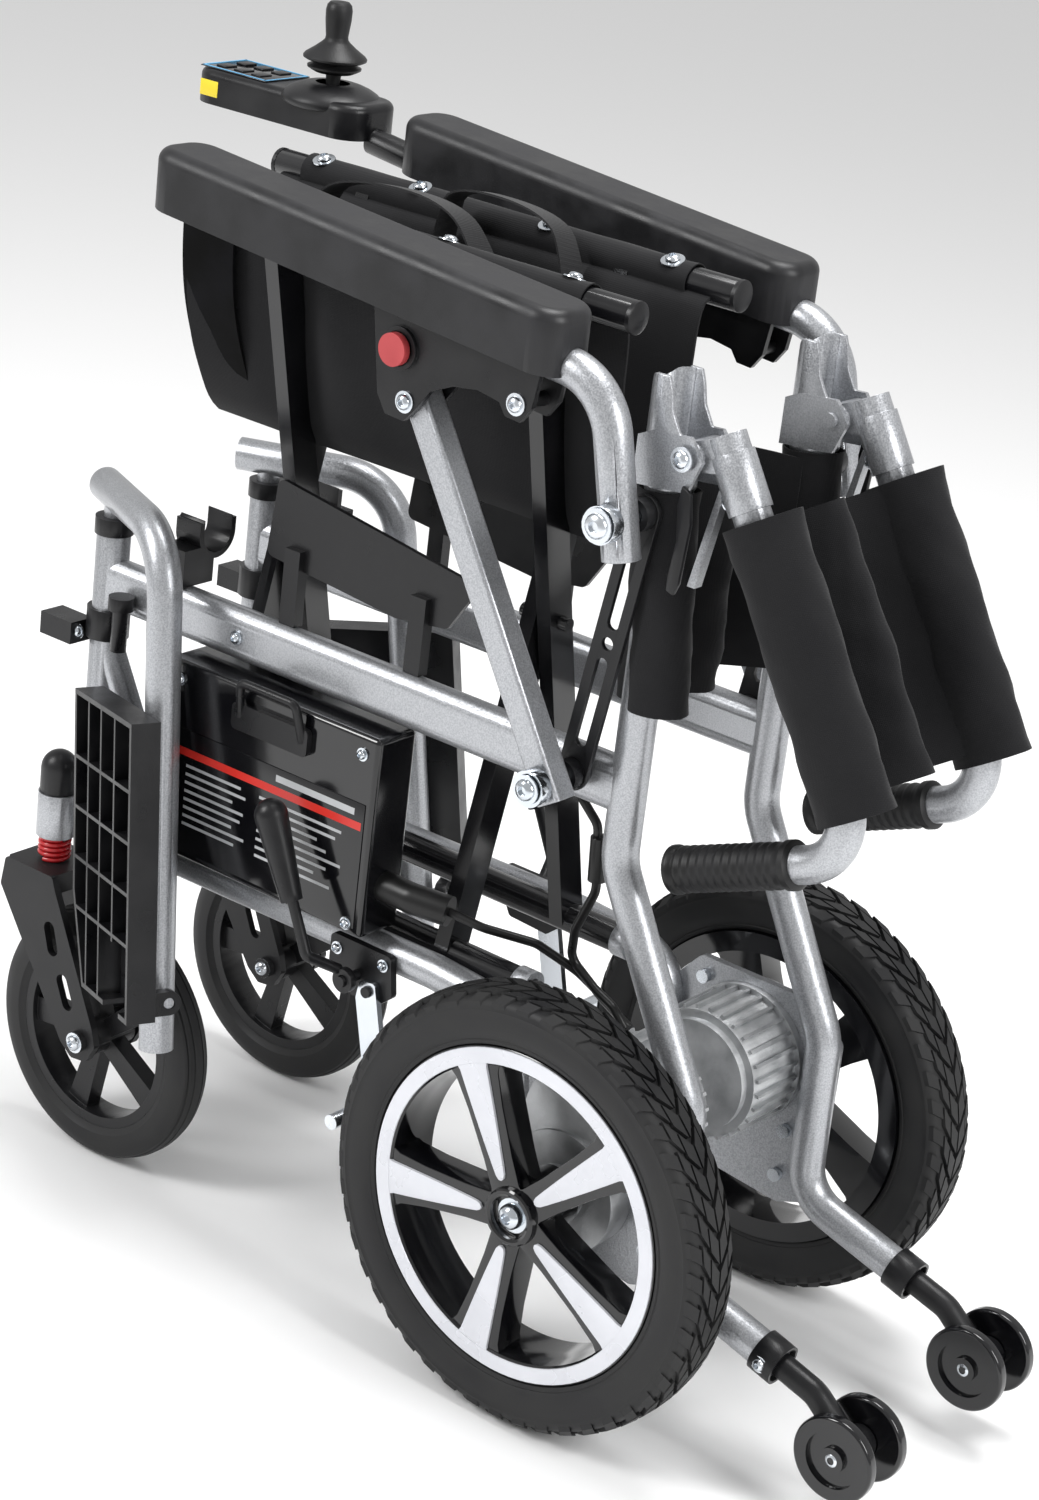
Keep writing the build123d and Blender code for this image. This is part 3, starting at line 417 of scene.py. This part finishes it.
def addSpokePlate(bm, matrix, m, outline, x0, x1, bevel=0.0):
    corners = [bm.verts.new(matrix @ Vector((m * x0 / 1000, u / 1000, r / 1000))) for u, r in outline]
    face = bm.faces.new(corners)
    made = bmesh.ops.extrude_face_region(bm, geom=[face])
    moved = [g for g in made["geom"] if isinstance(g, bmesh.types.BMVert)]
    bmesh.ops.translate(bm, vec=(m * (x1 - x0) / 1000, 0, 0), verts=moved)
    if bevel:
        edges = [g for g in made["geom"] if isinstance(g, bmesh.types.BMEdge)]
        bmesh.ops.bevel(bm, geom=edges, offset=bevel / 1000, segments=2, profile=0.5, affect="EDGES",
                        material=-1)


def driveRim(side, m):
    at = pt(m * wheelX, 0, axleZ)
    axis = Vector((m, 0, 0))
    bm = bmesh.new()
    addLathe(bm, [(-22, 104), (-22, 119), (-17, 119), (-14, 111.5), (14, 111.5), (17, 119), (19.6, 119.2),
                  (20, 118.6), (20, 106.5), (18.6, 105.4), (8, 104), (0, 103.2)], at, axis, 96, closed=True)
    hub = [(-26, 7.4), (-26, 22), (4, 23), (15, 21.5), (22, 20.4), (23.2, 19.2), (23.4, 17.2), (22.4, 15.4),
           (17, 14.6), (17, 7.4)]
    addLathe(bm, hub, at, axis, 48, closed=True)
    for index in range(rimSpec["spokes"]):
        body = [(-15, 12), (-12.5, 20), (-12.8, 40), (-15.5, 75), (-19, 98), (-24, 107), (24, 107), (19, 98),
                (15.5, 75), (12.8, 40), (12.5, 20), (15, 12)]
        addSpokePlate(bm, spokeMatrix(at, index), m, body, -6, rimSpec["faceX"] - 1.2, 1.2)
    piece(side + "WheelRim", bm, gloss, side + "_wheel", 30, replaces=[side + "_wheel_rim"])
    bm = bmesh.new()
    face = rimSpec["faceX"]
    addLathe(bm, [(20, 106.8), (20, 118.3), (20.6, 118.0), (20.6, 107.1)], at, axis, 96, closed=True)
    for index in range(rimSpec["spokes"]):
        petal = [(-13.5, 107.6), (-11.8, 103), (-10.6, 90), (-8.8, 72), (-6.6, 52), (-4.6, 36), (-3.6, 29),
                 (-2.2, 26), (0, 25), (2.2, 26), (3.6, 29), (4.6, 36), (6.6, 52), (8.8, 72), (10.6, 90),
                 (11.8, 103), (13.5, 107.6)]
        addSpokePlate(bm, spokeMatrix(at, index), m, petal, face - 1.3, 20.3, 0.3)
    piece(side + "WheelFaces", bm, wheelSilver, side + "_wheel", 30)
    bm = bmesh.new()
    addBolt(bm, pt(m * (wheelX + 16.8), 0, axleZ), axis, 9.2, 8.5)
    piece(side + "HubBolt", bm, zinc, side + "_wheel", 40)


def casterWheel(side, m):
    at = pt(m * casterX, -442, 100)
    bm = bmesh.new()
    half = [(12, 74), (13.2, 76.5), (15, 79), (15.4, 86), (14, 92.5), (11.6, 96.4), (10, 97.4), (9.3, 96.4),
            (8.6, 98.4), (5.0, 99.5), (4.4, 98.2), (3.6, 99.8)]
    addLathe(bm, half + [(-a, r) for a, r in reversed(half)], at, Vector((1, 0, 0)), 96, closed=True)
    piece(side + "CasterTyre", bm, tyreRubber, side + "_caster_wheel", 24,
          replaces=[side + "_caster_tyre"])
    bm = bmesh.new()
    for way in (1, -1):
        addBolt(bm, pt(m * casterX + way * 31.8, -442, 100), Vector((way, 0, 0)), 6.0, 5.0)
    piece(side + "CasterAxleBolts", bm, zinc, side + "_caster_fork", 40)


springSpec = {"low": 222.6, "high": 239.8, "turns": 4.2, "radius": 10.9, "wire": 1.9}


def casterSpring(side, m):
    spec = springSpec
    bm = bmesh.new()
    path = []
    count = 110
    for index in range(count + 1):
        t = index / count
        angle = 2 * math.pi * spec["turns"] * t
        path.append(pt(m * casterX + spec["radius"] * math.cos(angle), -508 + spec["radius"] * math.sin(angle),
                       spec["low"] + (spec["high"] - spec["low"]) * t))
    addTube(bm, path, spec["wire"], 10)
    piece(side + "Spring", bm, redPaint, side + "_frame", 60, replaces=[side + "_caster_spring"])


for side, m in pair:
    driveTyre(side, m)
    driveRim(side, m)
    casterWheel(side, m)
    casterSpring(side, m)
print("stage: wheels")


def sideBolts(side, m):
    out = (m, 0, 0)
    boltSet(side + "FrameBolts", side + "_frame", [
        ((m * 151.9, -10, 638), out, 8.5), ((m * 151.9, -40, 450), out, 7.5),
        ((m * 93.2, -352, 445), out, 4), ((m * 91.4, 60, 236), out, 5), ((m * 91.4, 62, 130), out, 5),
        ((m * 91.4, -30, 120), out, 5), ((m * frameX, -434, 464.2), (0, 0, 1), 4.5),
        ((m * 95.4, 166, 93.2), out, 4.5), ((m * 97.6, -505, 404), out, 4.5),
        ((m * 104.4, 14, 680), out, 6), ((m * 100.8, -225, 252), out, 3.5),
        ((m * 100.8, -182, 254), out, 3.5)])
    boltSet(side + "ArmBolts", side + "_armrest", [
        ((m * 143.1, -180, 672), out, 5.5), ((m * 143.1, -90, 694), out, 5.5)])
    boltSet(side + "TipBolts", side + "_tip_wheels", [((m * frameX + 19.2, 236, 57), (1, 0, 0), 6),
                                                      ((m * frameX - 19.2, 236, 57), (-1, 0, 0), 6)])
    boltSet(side + "BraceBolts", "brace_a" if m < 0 else "brace_b", [
        ((m * braceX * (z - 503.5) / 241.5 + m * 0.2, (-398.4 if m < 0 else -384.4), z), (0, -1, 0), 4.5)
        for z in (600, 700)])


for side, m in pair:
    sideBolts(side, m)
boltSet("crossBolts", "brace_a", [((0, -399, 503.5), (0, -1, 0), 7)])
print("stage: fasteners")


seatSpec = {"front": -472, "rear": -84, "tube": (braceX, 745)}


def sheetMesh(name, rows, mat, body=None, thick=1.6):
    # A cloth from rows of points, given its thickness
    bm = bmesh.new()
    grid = [[bm.verts.new(p) for p in row] for row in rows]
    for one, two in zip(grid, grid[1:]):
        for a, b, c, d in zip(one, one[1:], two[1:], two):
            bm.faces.new((a, b, c, d))
    bmesh.ops.recalc_face_normals(bm, faces=bm.faces)
    bmesh.ops.solidify(bm, geom=bm.faces[:], thickness=thick / 1000)
    return piece(name, bm, mat, body, 60)


def curvePoint(line, t):
    # A point at share t of a polyline's length
    lengths = [math.dist(a, b) for a, b in zip(line, line[1:])]
    left = t * sum(lengths)
    for (a, b), length in zip(zip(line, line[1:]), lengths):
        if left <= length:
            return [p + (q - p) * left / length for p, q in zip(a, b)]
        left -= length
    return list(line[-1])


def softLine(line, passes=3):
    # Round a polyline's corners by cutting them
    for _ in range(passes):
        out = [line[0]]
        for a, b in zip(line, line[1:]):
            out.append([p * 0.75 + q * 0.25 for p, q in zip(a, b)])
            out.append([p * 0.25 + q * 0.75 for p, q in zip(a, b)])
        out.append(line[-1])
        line = out
    return line


def wrinkle(u, v, seed=0.0):
    # A few broad folds, from -1 to 1
    return (math.sin(3.1 * u + 1.7 * v + seed) * 0.5 + math.sin(7.3 * u - 4.1 * v + 2.2 * seed) * 0.3
            + math.sin(12.7 * v + 5.3 * u + 0.7 * seed) * 0.2)


def seatCloth():
    half = [(47.5, 741.5), (39.5, 738.5), (33.5, 722), (29, 690), (24, 658), (18.5, 628), (12.5, 600),
            (7, 580), (0, 571)]
    line = softLine(half, 2)
    line = line + [(-x, z) for x, z in reversed(line[:-1])]
    across, along = 56, 46
    rows = []
    for i in range(along + 1):
        v = i / along
        y = seatSpec["front"] + (seatSpec["rear"] - seatSpec["front"]) * v
        row = []
        for j in range(across + 1):
            u = j / across
            x, z = curvePoint(line, u)
            side = 1 if u < 0.5 else -1
            depth = math.sin(math.pi * min(1, 2 * min(u, 1 - u)))
            free = 1.0
            for bar in (-392, -378, -158, -144):
                free = min(free, abs(y - bar) / 42)
            bulge = 9.0 * depth * free * free * (3 - 2 * free) + 1.4 * depth * wrinkle(6 * v, 3 * u, side)
            flare = 9.0 * depth * max(0.0, (-434 - y) / 38)
            row.append(pt(x + side * (bulge * 0.9 + flare), y, z - 3 * wrinkle(5 * v, 2 * u, 1.3) * depth))
        rows.append(row)
    obj = sheetMesh("seatCloth", rows, cloth, thick=1.8)
    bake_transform(obj)
    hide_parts("seat_sling_left", "seat_sling_right")


def seatSleeve(name, body, side, low, high, radius):
    # The cloth's hem wrapped round the seat tube
    x, z = seatSpec["tube"]
    bm = bmesh.new()
    rings = []
    count = 40
    for i in range(count + 1):
        v = i / count
        y = low + (high - low) * v
        ring = []
        for k in range(25):
            a = 2 * math.pi * k / 24
            r = radius + 0.35 * wrinkle(5 * v, a, side) + (0.5 if i in (0, count) else 0)
            ring.append(bm.verts.new(pt(side * x + r * math.cos(a), y, z + r * math.sin(a))))
        rings.append(ring[:-1] + [ring[0]])
        bm.verts.remove(ring[-1])
    for one, two in zip(rings, rings[1:]):
        for a, b, c, d in zip(one, one[1:], two[1:], two):
            bm.faces.new((a, b, c, d))
    bmesh.ops.recalc_face_normals(bm, faces=bm.faces)
    bmesh.ops.solidify(bm, geom=bm.faces[:], thickness=-0.0009)
    return piece(name, bm, cloth, body, 60)


def seatTrim():
    for name, body, side in (("leftSeatHem", "brace_b", 1), ("rightSeatHem", "brace_a", -1)):
        seatSleeve(name, body, side, -452, -104, 12.2)
        x, z = seatSpec["tube"]
        bm = bmesh.new()
        for y in (-438, -346, -228, -122):
            lean = Vector((-side * 0.34, 0, 0.94)).normalized()
            at = pt(side * x, y, z) + lean * 0.0124
            addLathe(bm, [(0, 5), (0, 8.6), (0.9, 8.4), (1.1, 5)], at, lean, 24)
            addBolt(bm, at + lean * 0.0006, lean, 5.2, 3.8, washer=False)
        piece(name + "Screws", bm, zinc, body, 40)
        bm = bmesh.new()
        for y, way in ((-484.4, 1), (-63.6, -1)):
            addLathe(bm, [(0, 0), (0.4, 9.4), (1.4, 11.2), (4.4, 11.2)], pt(side * x, y, z),
                     Vector((0, way, 0)), 24)
        piece(name + "Plugs", bm, plastic, body, 40)


def loopStrap(name, body, feet, top, width):
    # A webbing handle: a ribbon that stands up in an arch between two feet
    a, b = feet
    line = [a, [a[0], a[1] + 4, a[2] + 26], top[0], top[1], [b[0], b[1] - 4, b[2] + 24], b]
    line = softLine([list(p) for p in line], 3)
    rows = []
    for k in range(33):
        x, y, z = curvePoint(line, k / 32)
        lean = 0.35 * math.sin(math.pi * k / 32)
        rows.append([pt(x - width / 2 + width * j / 4, y + lean * (j - 2) * 3, z + (j - 2) * lean * 4)
                     for j in range(5)])
    obj = sheetMesh(name, rows, webbing, body, thick=1.4)


seatCloth()
seatTrim()
loopStrap("nearStrap", "brace_b", ([25, -372, 722], [25, -214, 720]),
          ([25, -352, 772], [25, -250, 778]), 26)
loopStrap("farStrap", "brace_a", ([-25, -300, 722], [-25, -180, 720]),
          ([-25, -290, 776], [-25, -200, 774]), 26)


def frontBand():
    # Hook-and-loop tape along the front edge of the seat cloth
    rows = []
    for k in range(15):
        t = k / 14
        z = 726 - 128 * t
        x = braceX * (z - 503.5) / 241.5 - 4 + 9 * math.sin(math.pi * t)
        rows.append([pt(x - 0.05 * (y + 472), y, z) for y in (-475, -462, -450, -438, -428)])
    obj = sheetMesh("seatFrontBand", rows, fuzzy, "brace_b", thick=1.6)


frontBand()
print("stage: seat")


caneSpec = {"root": (32.8, 691.43), "way": (0.51952, -0.85446), "length": 274}


def cane(t, off=0.0):
    # (y, z) of a point t along the folded cane and off to its upper rear
    y0, z0 = caneSpec["root"]
    dy, dz = caneSpec["way"]
    return y0 + t * dy - off * dz, z0 + t * dz + off * dy


def ovalSleeve(name, body, path, wide, thin):
    # A cloth tube round a frame tube: path gives centre points, wide and thin its half sizes
    bm = bmesh.new()
    rings = []
    n = len(path)
    for i, (x, y, z) in enumerate(path):
        ahead = Vector(path[min(i + 1, n - 1)]) - Vector(path[max(i - 1, 0)])
        d = ahead.normalized()
        side = Vector((1, 0, 0))
        up = side.cross(d).normalized()
        v = i / (n - 1)
        ring = []
        for k in range(28):
            a = 2 * math.pi * k / 28
            swell = 1 + 0.05 * wrinkle(5 * v, 2 * a, wide) + (0.04 if i in (0, n - 1) else 0)
            p = (Vector((x, y, z)) + side * (math.cos(a) * thin * swell)
                 + up * (math.sin(a) * wide * swell))
            ring.append(bm.verts.new(pt(*p)))
        rings.append(ring)
    for one, two in zip(rings, rings[1:]):
        for k in range(28):
            bm.faces.new((one[k], one[(k + 1) % 28], two[(k + 1) % 28], two[k]))
    bmesh.ops.recalc_face_normals(bm, faces=bm.faces)
    bmesh.ops.solidify(bm, geom=bm.faces[:], thickness=-0.0012)
    return piece(name, bm, cloth, body, 70)


def backSleeves(side, m):
    steps = 22
    path = []
    for i in range(steps + 1):
        t = 51 + (246 - 51) * i / steps
        y, z = cane(t, 6)
        path.append((m * frameX, y, z))
    ovalSleeve(side + "CaneSleeve", side + "_back", path, 27, 17.5)
    path = []
    for i in range(15):
        z = 652 - 148 * i / 14
        path.append((m * frameX, -8 + 1.0 * i, z))
    ovalSleeve(side + "PostSleeve", side + "_frame", path, 20, 16)


def panelRow(line, steps):
    return [curvePoint(line, k / steps) for k in range(steps + 1)]


def lowerBack():
    rows = []
    steps = 60
    for i in range(23):
        v = i / 22
        z = 648 - 150 * v
        deep = 1.0 + 0.04 * math.sin(2.4 * v + 0.4)
        plan = [(66, -4), (58, -42 * deep), (46, -54 * deep), (30, -54 * deep), (14, -16 * deep),
                (0, -6 * deep), (-14, -16 * deep), (-30, -54 * deep), (-46, -54 * deep), (-58, -42 * deep), (-66, -4)]
        line = softLine([list(p) for p in plan], 3)
        row = []
        for k, (x, y) in enumerate(panelRow(line, steps)):
            u = k / steps
            edge = math.sin(math.pi * u)
            row.append(pt(x + 1.6 * wrinkle(4 * v, 9 * u, 0.4) * edge,
                          y + 2.4 * wrinkle(5 * v, 7 * u, 2.1) * edge,
                          z - 14 * v * edge * (0.6 + 0.4 * math.sin(9 * u))))
        rows.append(row)
    obj = sheetMesh("lowerBackCloth", rows, cloth, thick=1.6)
    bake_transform(obj)
    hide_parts("lower_back_sling")


def upperBack():
    rows = []
    steps = 60
    for i in range(23):
        v = i / 22
        t = 52 + 186 * v
        deep = 1.0 + 0.12 * math.sin(3.1 * v)
        plan = [(66, 4), (60, -18 * deep), (46, -34 * deep), (26, -30 * deep), (10, 6 * deep), (0, 14 * deep),
                (-10, 6 * deep), (-26, -30 * deep), (-46, -34 * deep), (-60, -18 * deep), (-66, 4)]
        line = softLine([list(p) for p in plan], 3)
        row = []
        for k, (x, off) in enumerate(panelRow(line, steps)):
            u = k / steps
            edge = math.sin(math.pi * u)
            y, z = cane(t, off + 2.0 * wrinkle(4 * v, 8 * u, 1.1) * edge)
            row.append(pt(x + 1.2 * wrinkle(5 * v, 9 * u, 0.2) * edge, y, z))
        rows.append(row)
    obj = sheetMesh("upperBackCloth", rows, cloth, thick=1.6)
    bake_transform(obj)
    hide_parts("upper_back_sling")


for side, m in pair:
    backSleeves(side, m)
lowerBack()
upperBack()
print("stage: back")


gripSpec = {"end": (36, 402), "length": 100, "radius": 15.2, "collar": 16.6, "rib": 0.55}


def pushGrip(side, m):
    # Ribbed rubber over the end of the handle tube
    end = Vector(gripSpec["end"])
    corner = Vector(cane(caneSpec["length"]))
    way = (corner - end).normalized()
    bm = bmesh.new()
    path, radii = [], []
    for k in range(61):
        t = gripSpec["length"] * k / 60
        p = end + way * t
        path.append(pt(m * frameX, p.x, p.y))
        body = gripSpec["radius"] if 6 < t < 92 else gripSpec["collar"]
        rib = gripSpec["rib"] * (1 if (k // 2) % 2 else -1) if 8 < t < 90 else 0
        radii.append(body + rib if k not in (0, 60) else 13.6)
    addTube(bm, path, gripSpec["radius"], 28, radii)
    piece(side + "PushGrip", bm, gripRubber, side + "_back", 50,
          replaces=[side + "_push_grip"])


def hingeLever(side, m):
    # The cheeks of the hinge's trough, which run down to its pin, and the strip that frees the raised back
    bm = bmesh.new()
    cheek = [(-15, 728), (-6, 728), (-3, 720), (0, 706), (7, 694), (20, 688), (25, 681), (23, 672), (14, 667.5),
             (0, 668), (-15, 671)]
    addPlate(bm, cheek, frameX - 18.8, 3.2, 0.9, m)
    addPlate(bm, cheek, frameX + 15.6, 3.2, 0.9, m)
    collar = [(0, 12.8), (0, 16.6), (1.2, 17.4), (7, 17.4), (8.2, 16.6), (8.2, 12.8)]
    addLathe(bm, collar, pt(m * frameX, -8, 653), Vector((0, 0, 1)), 40, closed=True)
    piece(side + "HingeCheeks", bm, silver, side + "_frame", 35)
    bm = bmesh.new()
    strip = [(17, 664), (24, 660), (27, 640), (24, 600), (21, 592), (15, 594), (15, 604), (18, 628), (15, 650)]
    addPlate(bm, strip, frameX + 19.4, 4, 1.2, m)
    piece(side + "ReleaseStrip", bm, plastic, side + "_back", 35)
    bm = bmesh.new()
    y, z = cane(34, -14.4)
    addBolt(bm, pt(m * frameX, y, z), Vector((0, caneSpec["way"][1], -caneSpec["way"][0])), 4.6, 4.5)
    piece(side + "HingeBolts", bm, zinc, side + "_back", 40)


for side, m in pair:
    pushGrip(side, m)
    hingeLever(side, m)


batterySpec = {"face": 112.7, "rows": 8, "pitch": 6.4,
               "screws": ((-384, 408), (-384, 280), (-210, 408), (-210, 280))}


def batteryFace():
    x = batterySpec["face"]
    bm = bmesh.new()
    addBox(bm, (x, -392, 278), (x + 0.5, -203, 372), 0.2)
    piece("batteryPanel", bm, gloss, "left_frame")
    bm = bmesh.new()
    addBox(bm, (x + 0.5, -390, 352), (x + 0.7, -205, 358))
    piece("batteryStripe", bm, redInk, "left_frame")
    bm = bmesh.new()
    for k in range(batterySpec["rows"]):
        z = 345 - batterySpec["pitch"] * k
        for y0, y1 in ((-372, -318 + 7 * math.sin(2.3 * k)), (-300, -232 + 12 * math.sin(1.7 * k + 1))):
            addBox(bm, (x + 0.5, y0, z - 1.1), (x + 0.6, y1, z + 1.1))
    addBox(bm, (x + 0.5, -286, 362), (x + 0.6, -212, 367))
    piece("batteryLines", bm, paleInk, "left_frame")
    boltSet("batteryScrews", "left_frame",
            [((x - 0.2, y, z), (1, 0, 0), 3.6) for y, z in batterySpec["screws"]])


batteryFace()


def controller():
    x, y, z = -armX, -500, 788
    bm = bmesh.new()
    dome = [(-9, 34), (-8, 36.6), (-5.4, 38.2), (-3, 38), (0.4, 35), (3.4, 30), (5.8, 24), (7.2, 19), (7.6, 13)]
    addLathe(bm, dome, pt(x, y, z), Vector((0, 0, 1)), 64)
    piece("stickDome", bm, plastic, "right_armrest", 40)
    bm = bmesh.new()
    profile = [(-9, 0), (-9, 5), (1.0, 6), (1.2, 14.6), (2.6, 17.4), (4.2, 20.2), (5.6, 20.4), (7.0, 17.2),
               (8.2, 16.4), (9.4, 18.0), (10.0, 21.6), (11.2, 23.8), (12.6, 24.0), (14.4, 22.6), (19.5, 15.4),
               (23.5, 10.6), (25.5, 8.8), (28, 8.4), (40, 9.8), (47, 10.0), (51, 9.2), (53.2, 7.2), (54, 0)]
    addLathe(bm, profile, pt(x, y, z + 14), Vector((0, 0, 1)), 48)
    piece("stickBoot", bm, gripRubber, "joystick", 40,
          replaces=["joystick", "joystick_gimbal"])
    bm = bmesh.new()
    addBox(bm, (x - 25, -612, 788.2), (x + 25, -545, 789.0), 0.3)
    piece("keypad", bm, gloss, "right_armrest")
    bm = bmesh.new()
    low, high = 789.0, 789.4
    for x0, x1, y0, y1 in ((x - 24, x + 24, -611, -609.6), (x - 24, x + 24, -547, -545.6),
                           (x - 24, x - 22.6, -611, -546), (x + 22.6, x + 24, -611, -546)):
        addBox(bm, (x0, y0, low), (x1, y1, high))
    piece("keypadOutline", bm, blueInk, "right_armrest")
    bm = bmesh.new()
    for kx in (-11, 11):
        for ky in (-598, -580, -562):
            addBox(bm, (x + kx - 6.5, ky - 5, 788.9), (x + kx + 6.5, ky + 5, 790.2), 0.5)
    piece("keypadKeys", bm, plastic, "right_armrest")
    bm = bmesh.new()
    addBox(bm, (x + 29.6, -606, 768), (x + 30.3, -588, 780), 0.2)
    piece("yellowPatch", bm, yellowInk, "right_armrest")


controller()
print("stage: fittings")


def lookFrom(azimuth, elevation, roll, place, lens):
    a, e, r = (math.radians(v) for v in (azimuth, elevation, roll))
    back = Vector((math.sin(a) * math.cos(e), -math.cos(a) * math.cos(e), math.sin(e)))
    right = (-back).cross(Vector((0, 0, 1))).normalized()
    up = right.cross(-back)
    side = right * math.cos(r) + up * math.sin(r)
    top = up * math.cos(r) - right * math.sin(r)
    data = bpy.data.cameras.new("camera")
    data.lens = lens
    data.sensor_width = 36
    data.clip_end = 30
    obj = bpy.data.objects.new("camera", data)
    obj.matrix_world = Matrix((side, top, back)).transposed().to_4x4()
    obj.location = Vector(place)
    bpy.context.scene.collection.objects.link(obj)
    bpy.context.scene.camera = obj


def areaLight(name, place, aim, size, power):
    data = bpy.data.lights.new(name, "AREA")
    data.shape = "RECTANGLE"
    data.size, data.size_y = size
    data.energy = power
    obj = bpy.data.objects.new(name, data)
    obj.location = place
    obj.rotation_euler = (Vector(place) - Vector(aim)).to_track_quat("Z", "Y").to_euler()
    bpy.context.scene.collection.objects.link(obj)


lampSpec = {"key": ((2.2, -1.6, 2.4), (0.9, 1.4), 62), "rear": ((0.2, 2.6, 1.8), (0.8, 1.4), 42),
            "top": ((-0.4, 0.2, 3.0), (1.2, 1.2), 55)}
viewSpec = {"azimuth": 126.395, "elevation": 21.426, "roll": 6.836, "place": (1.7571, 1.3101, 1.2574),
            "lens": 79.83}


def studio():
    bm = bmesh.new()
    bmesh.ops.create_grid(bm, x_segments=1, y_segments=1, size=14)
    bmesh.ops.translate(bm, vec=(0, 0, -0.0006), verts=bm.verts)
    floorMat = bpy.data.materials.new("studioFloor")
    floorMat.use_nodes = True
    shader = floorMat.node_tree.nodes["Principled BSDF"]
    shader.inputs["Base Color"].default_value = (0.93, 0.93, 0.93, 1)
    shader.inputs["Roughness"].default_value = 0.9
    floor = piece("floor", bm, floorMat)
    world = bpy.data.worlds.new("studio")
    world.use_nodes = True
    world.node_tree.nodes["Background"].inputs["Color"].default_value = (1.0, 1.0, 1.0, 1)
    world.node_tree.nodes["Background"].inputs["Strength"].default_value = 0.62
    bpy.context.scene.world = world
    for name, (place, size, power) in lampSpec.items():
        areaLight(name, place, (0, 0, 0.45), size, power)
    bpy.context.scene.view_settings.view_transform = "Standard"


studio()
lookFrom(**viewSpec)
print("stage: studio")

writeSize()
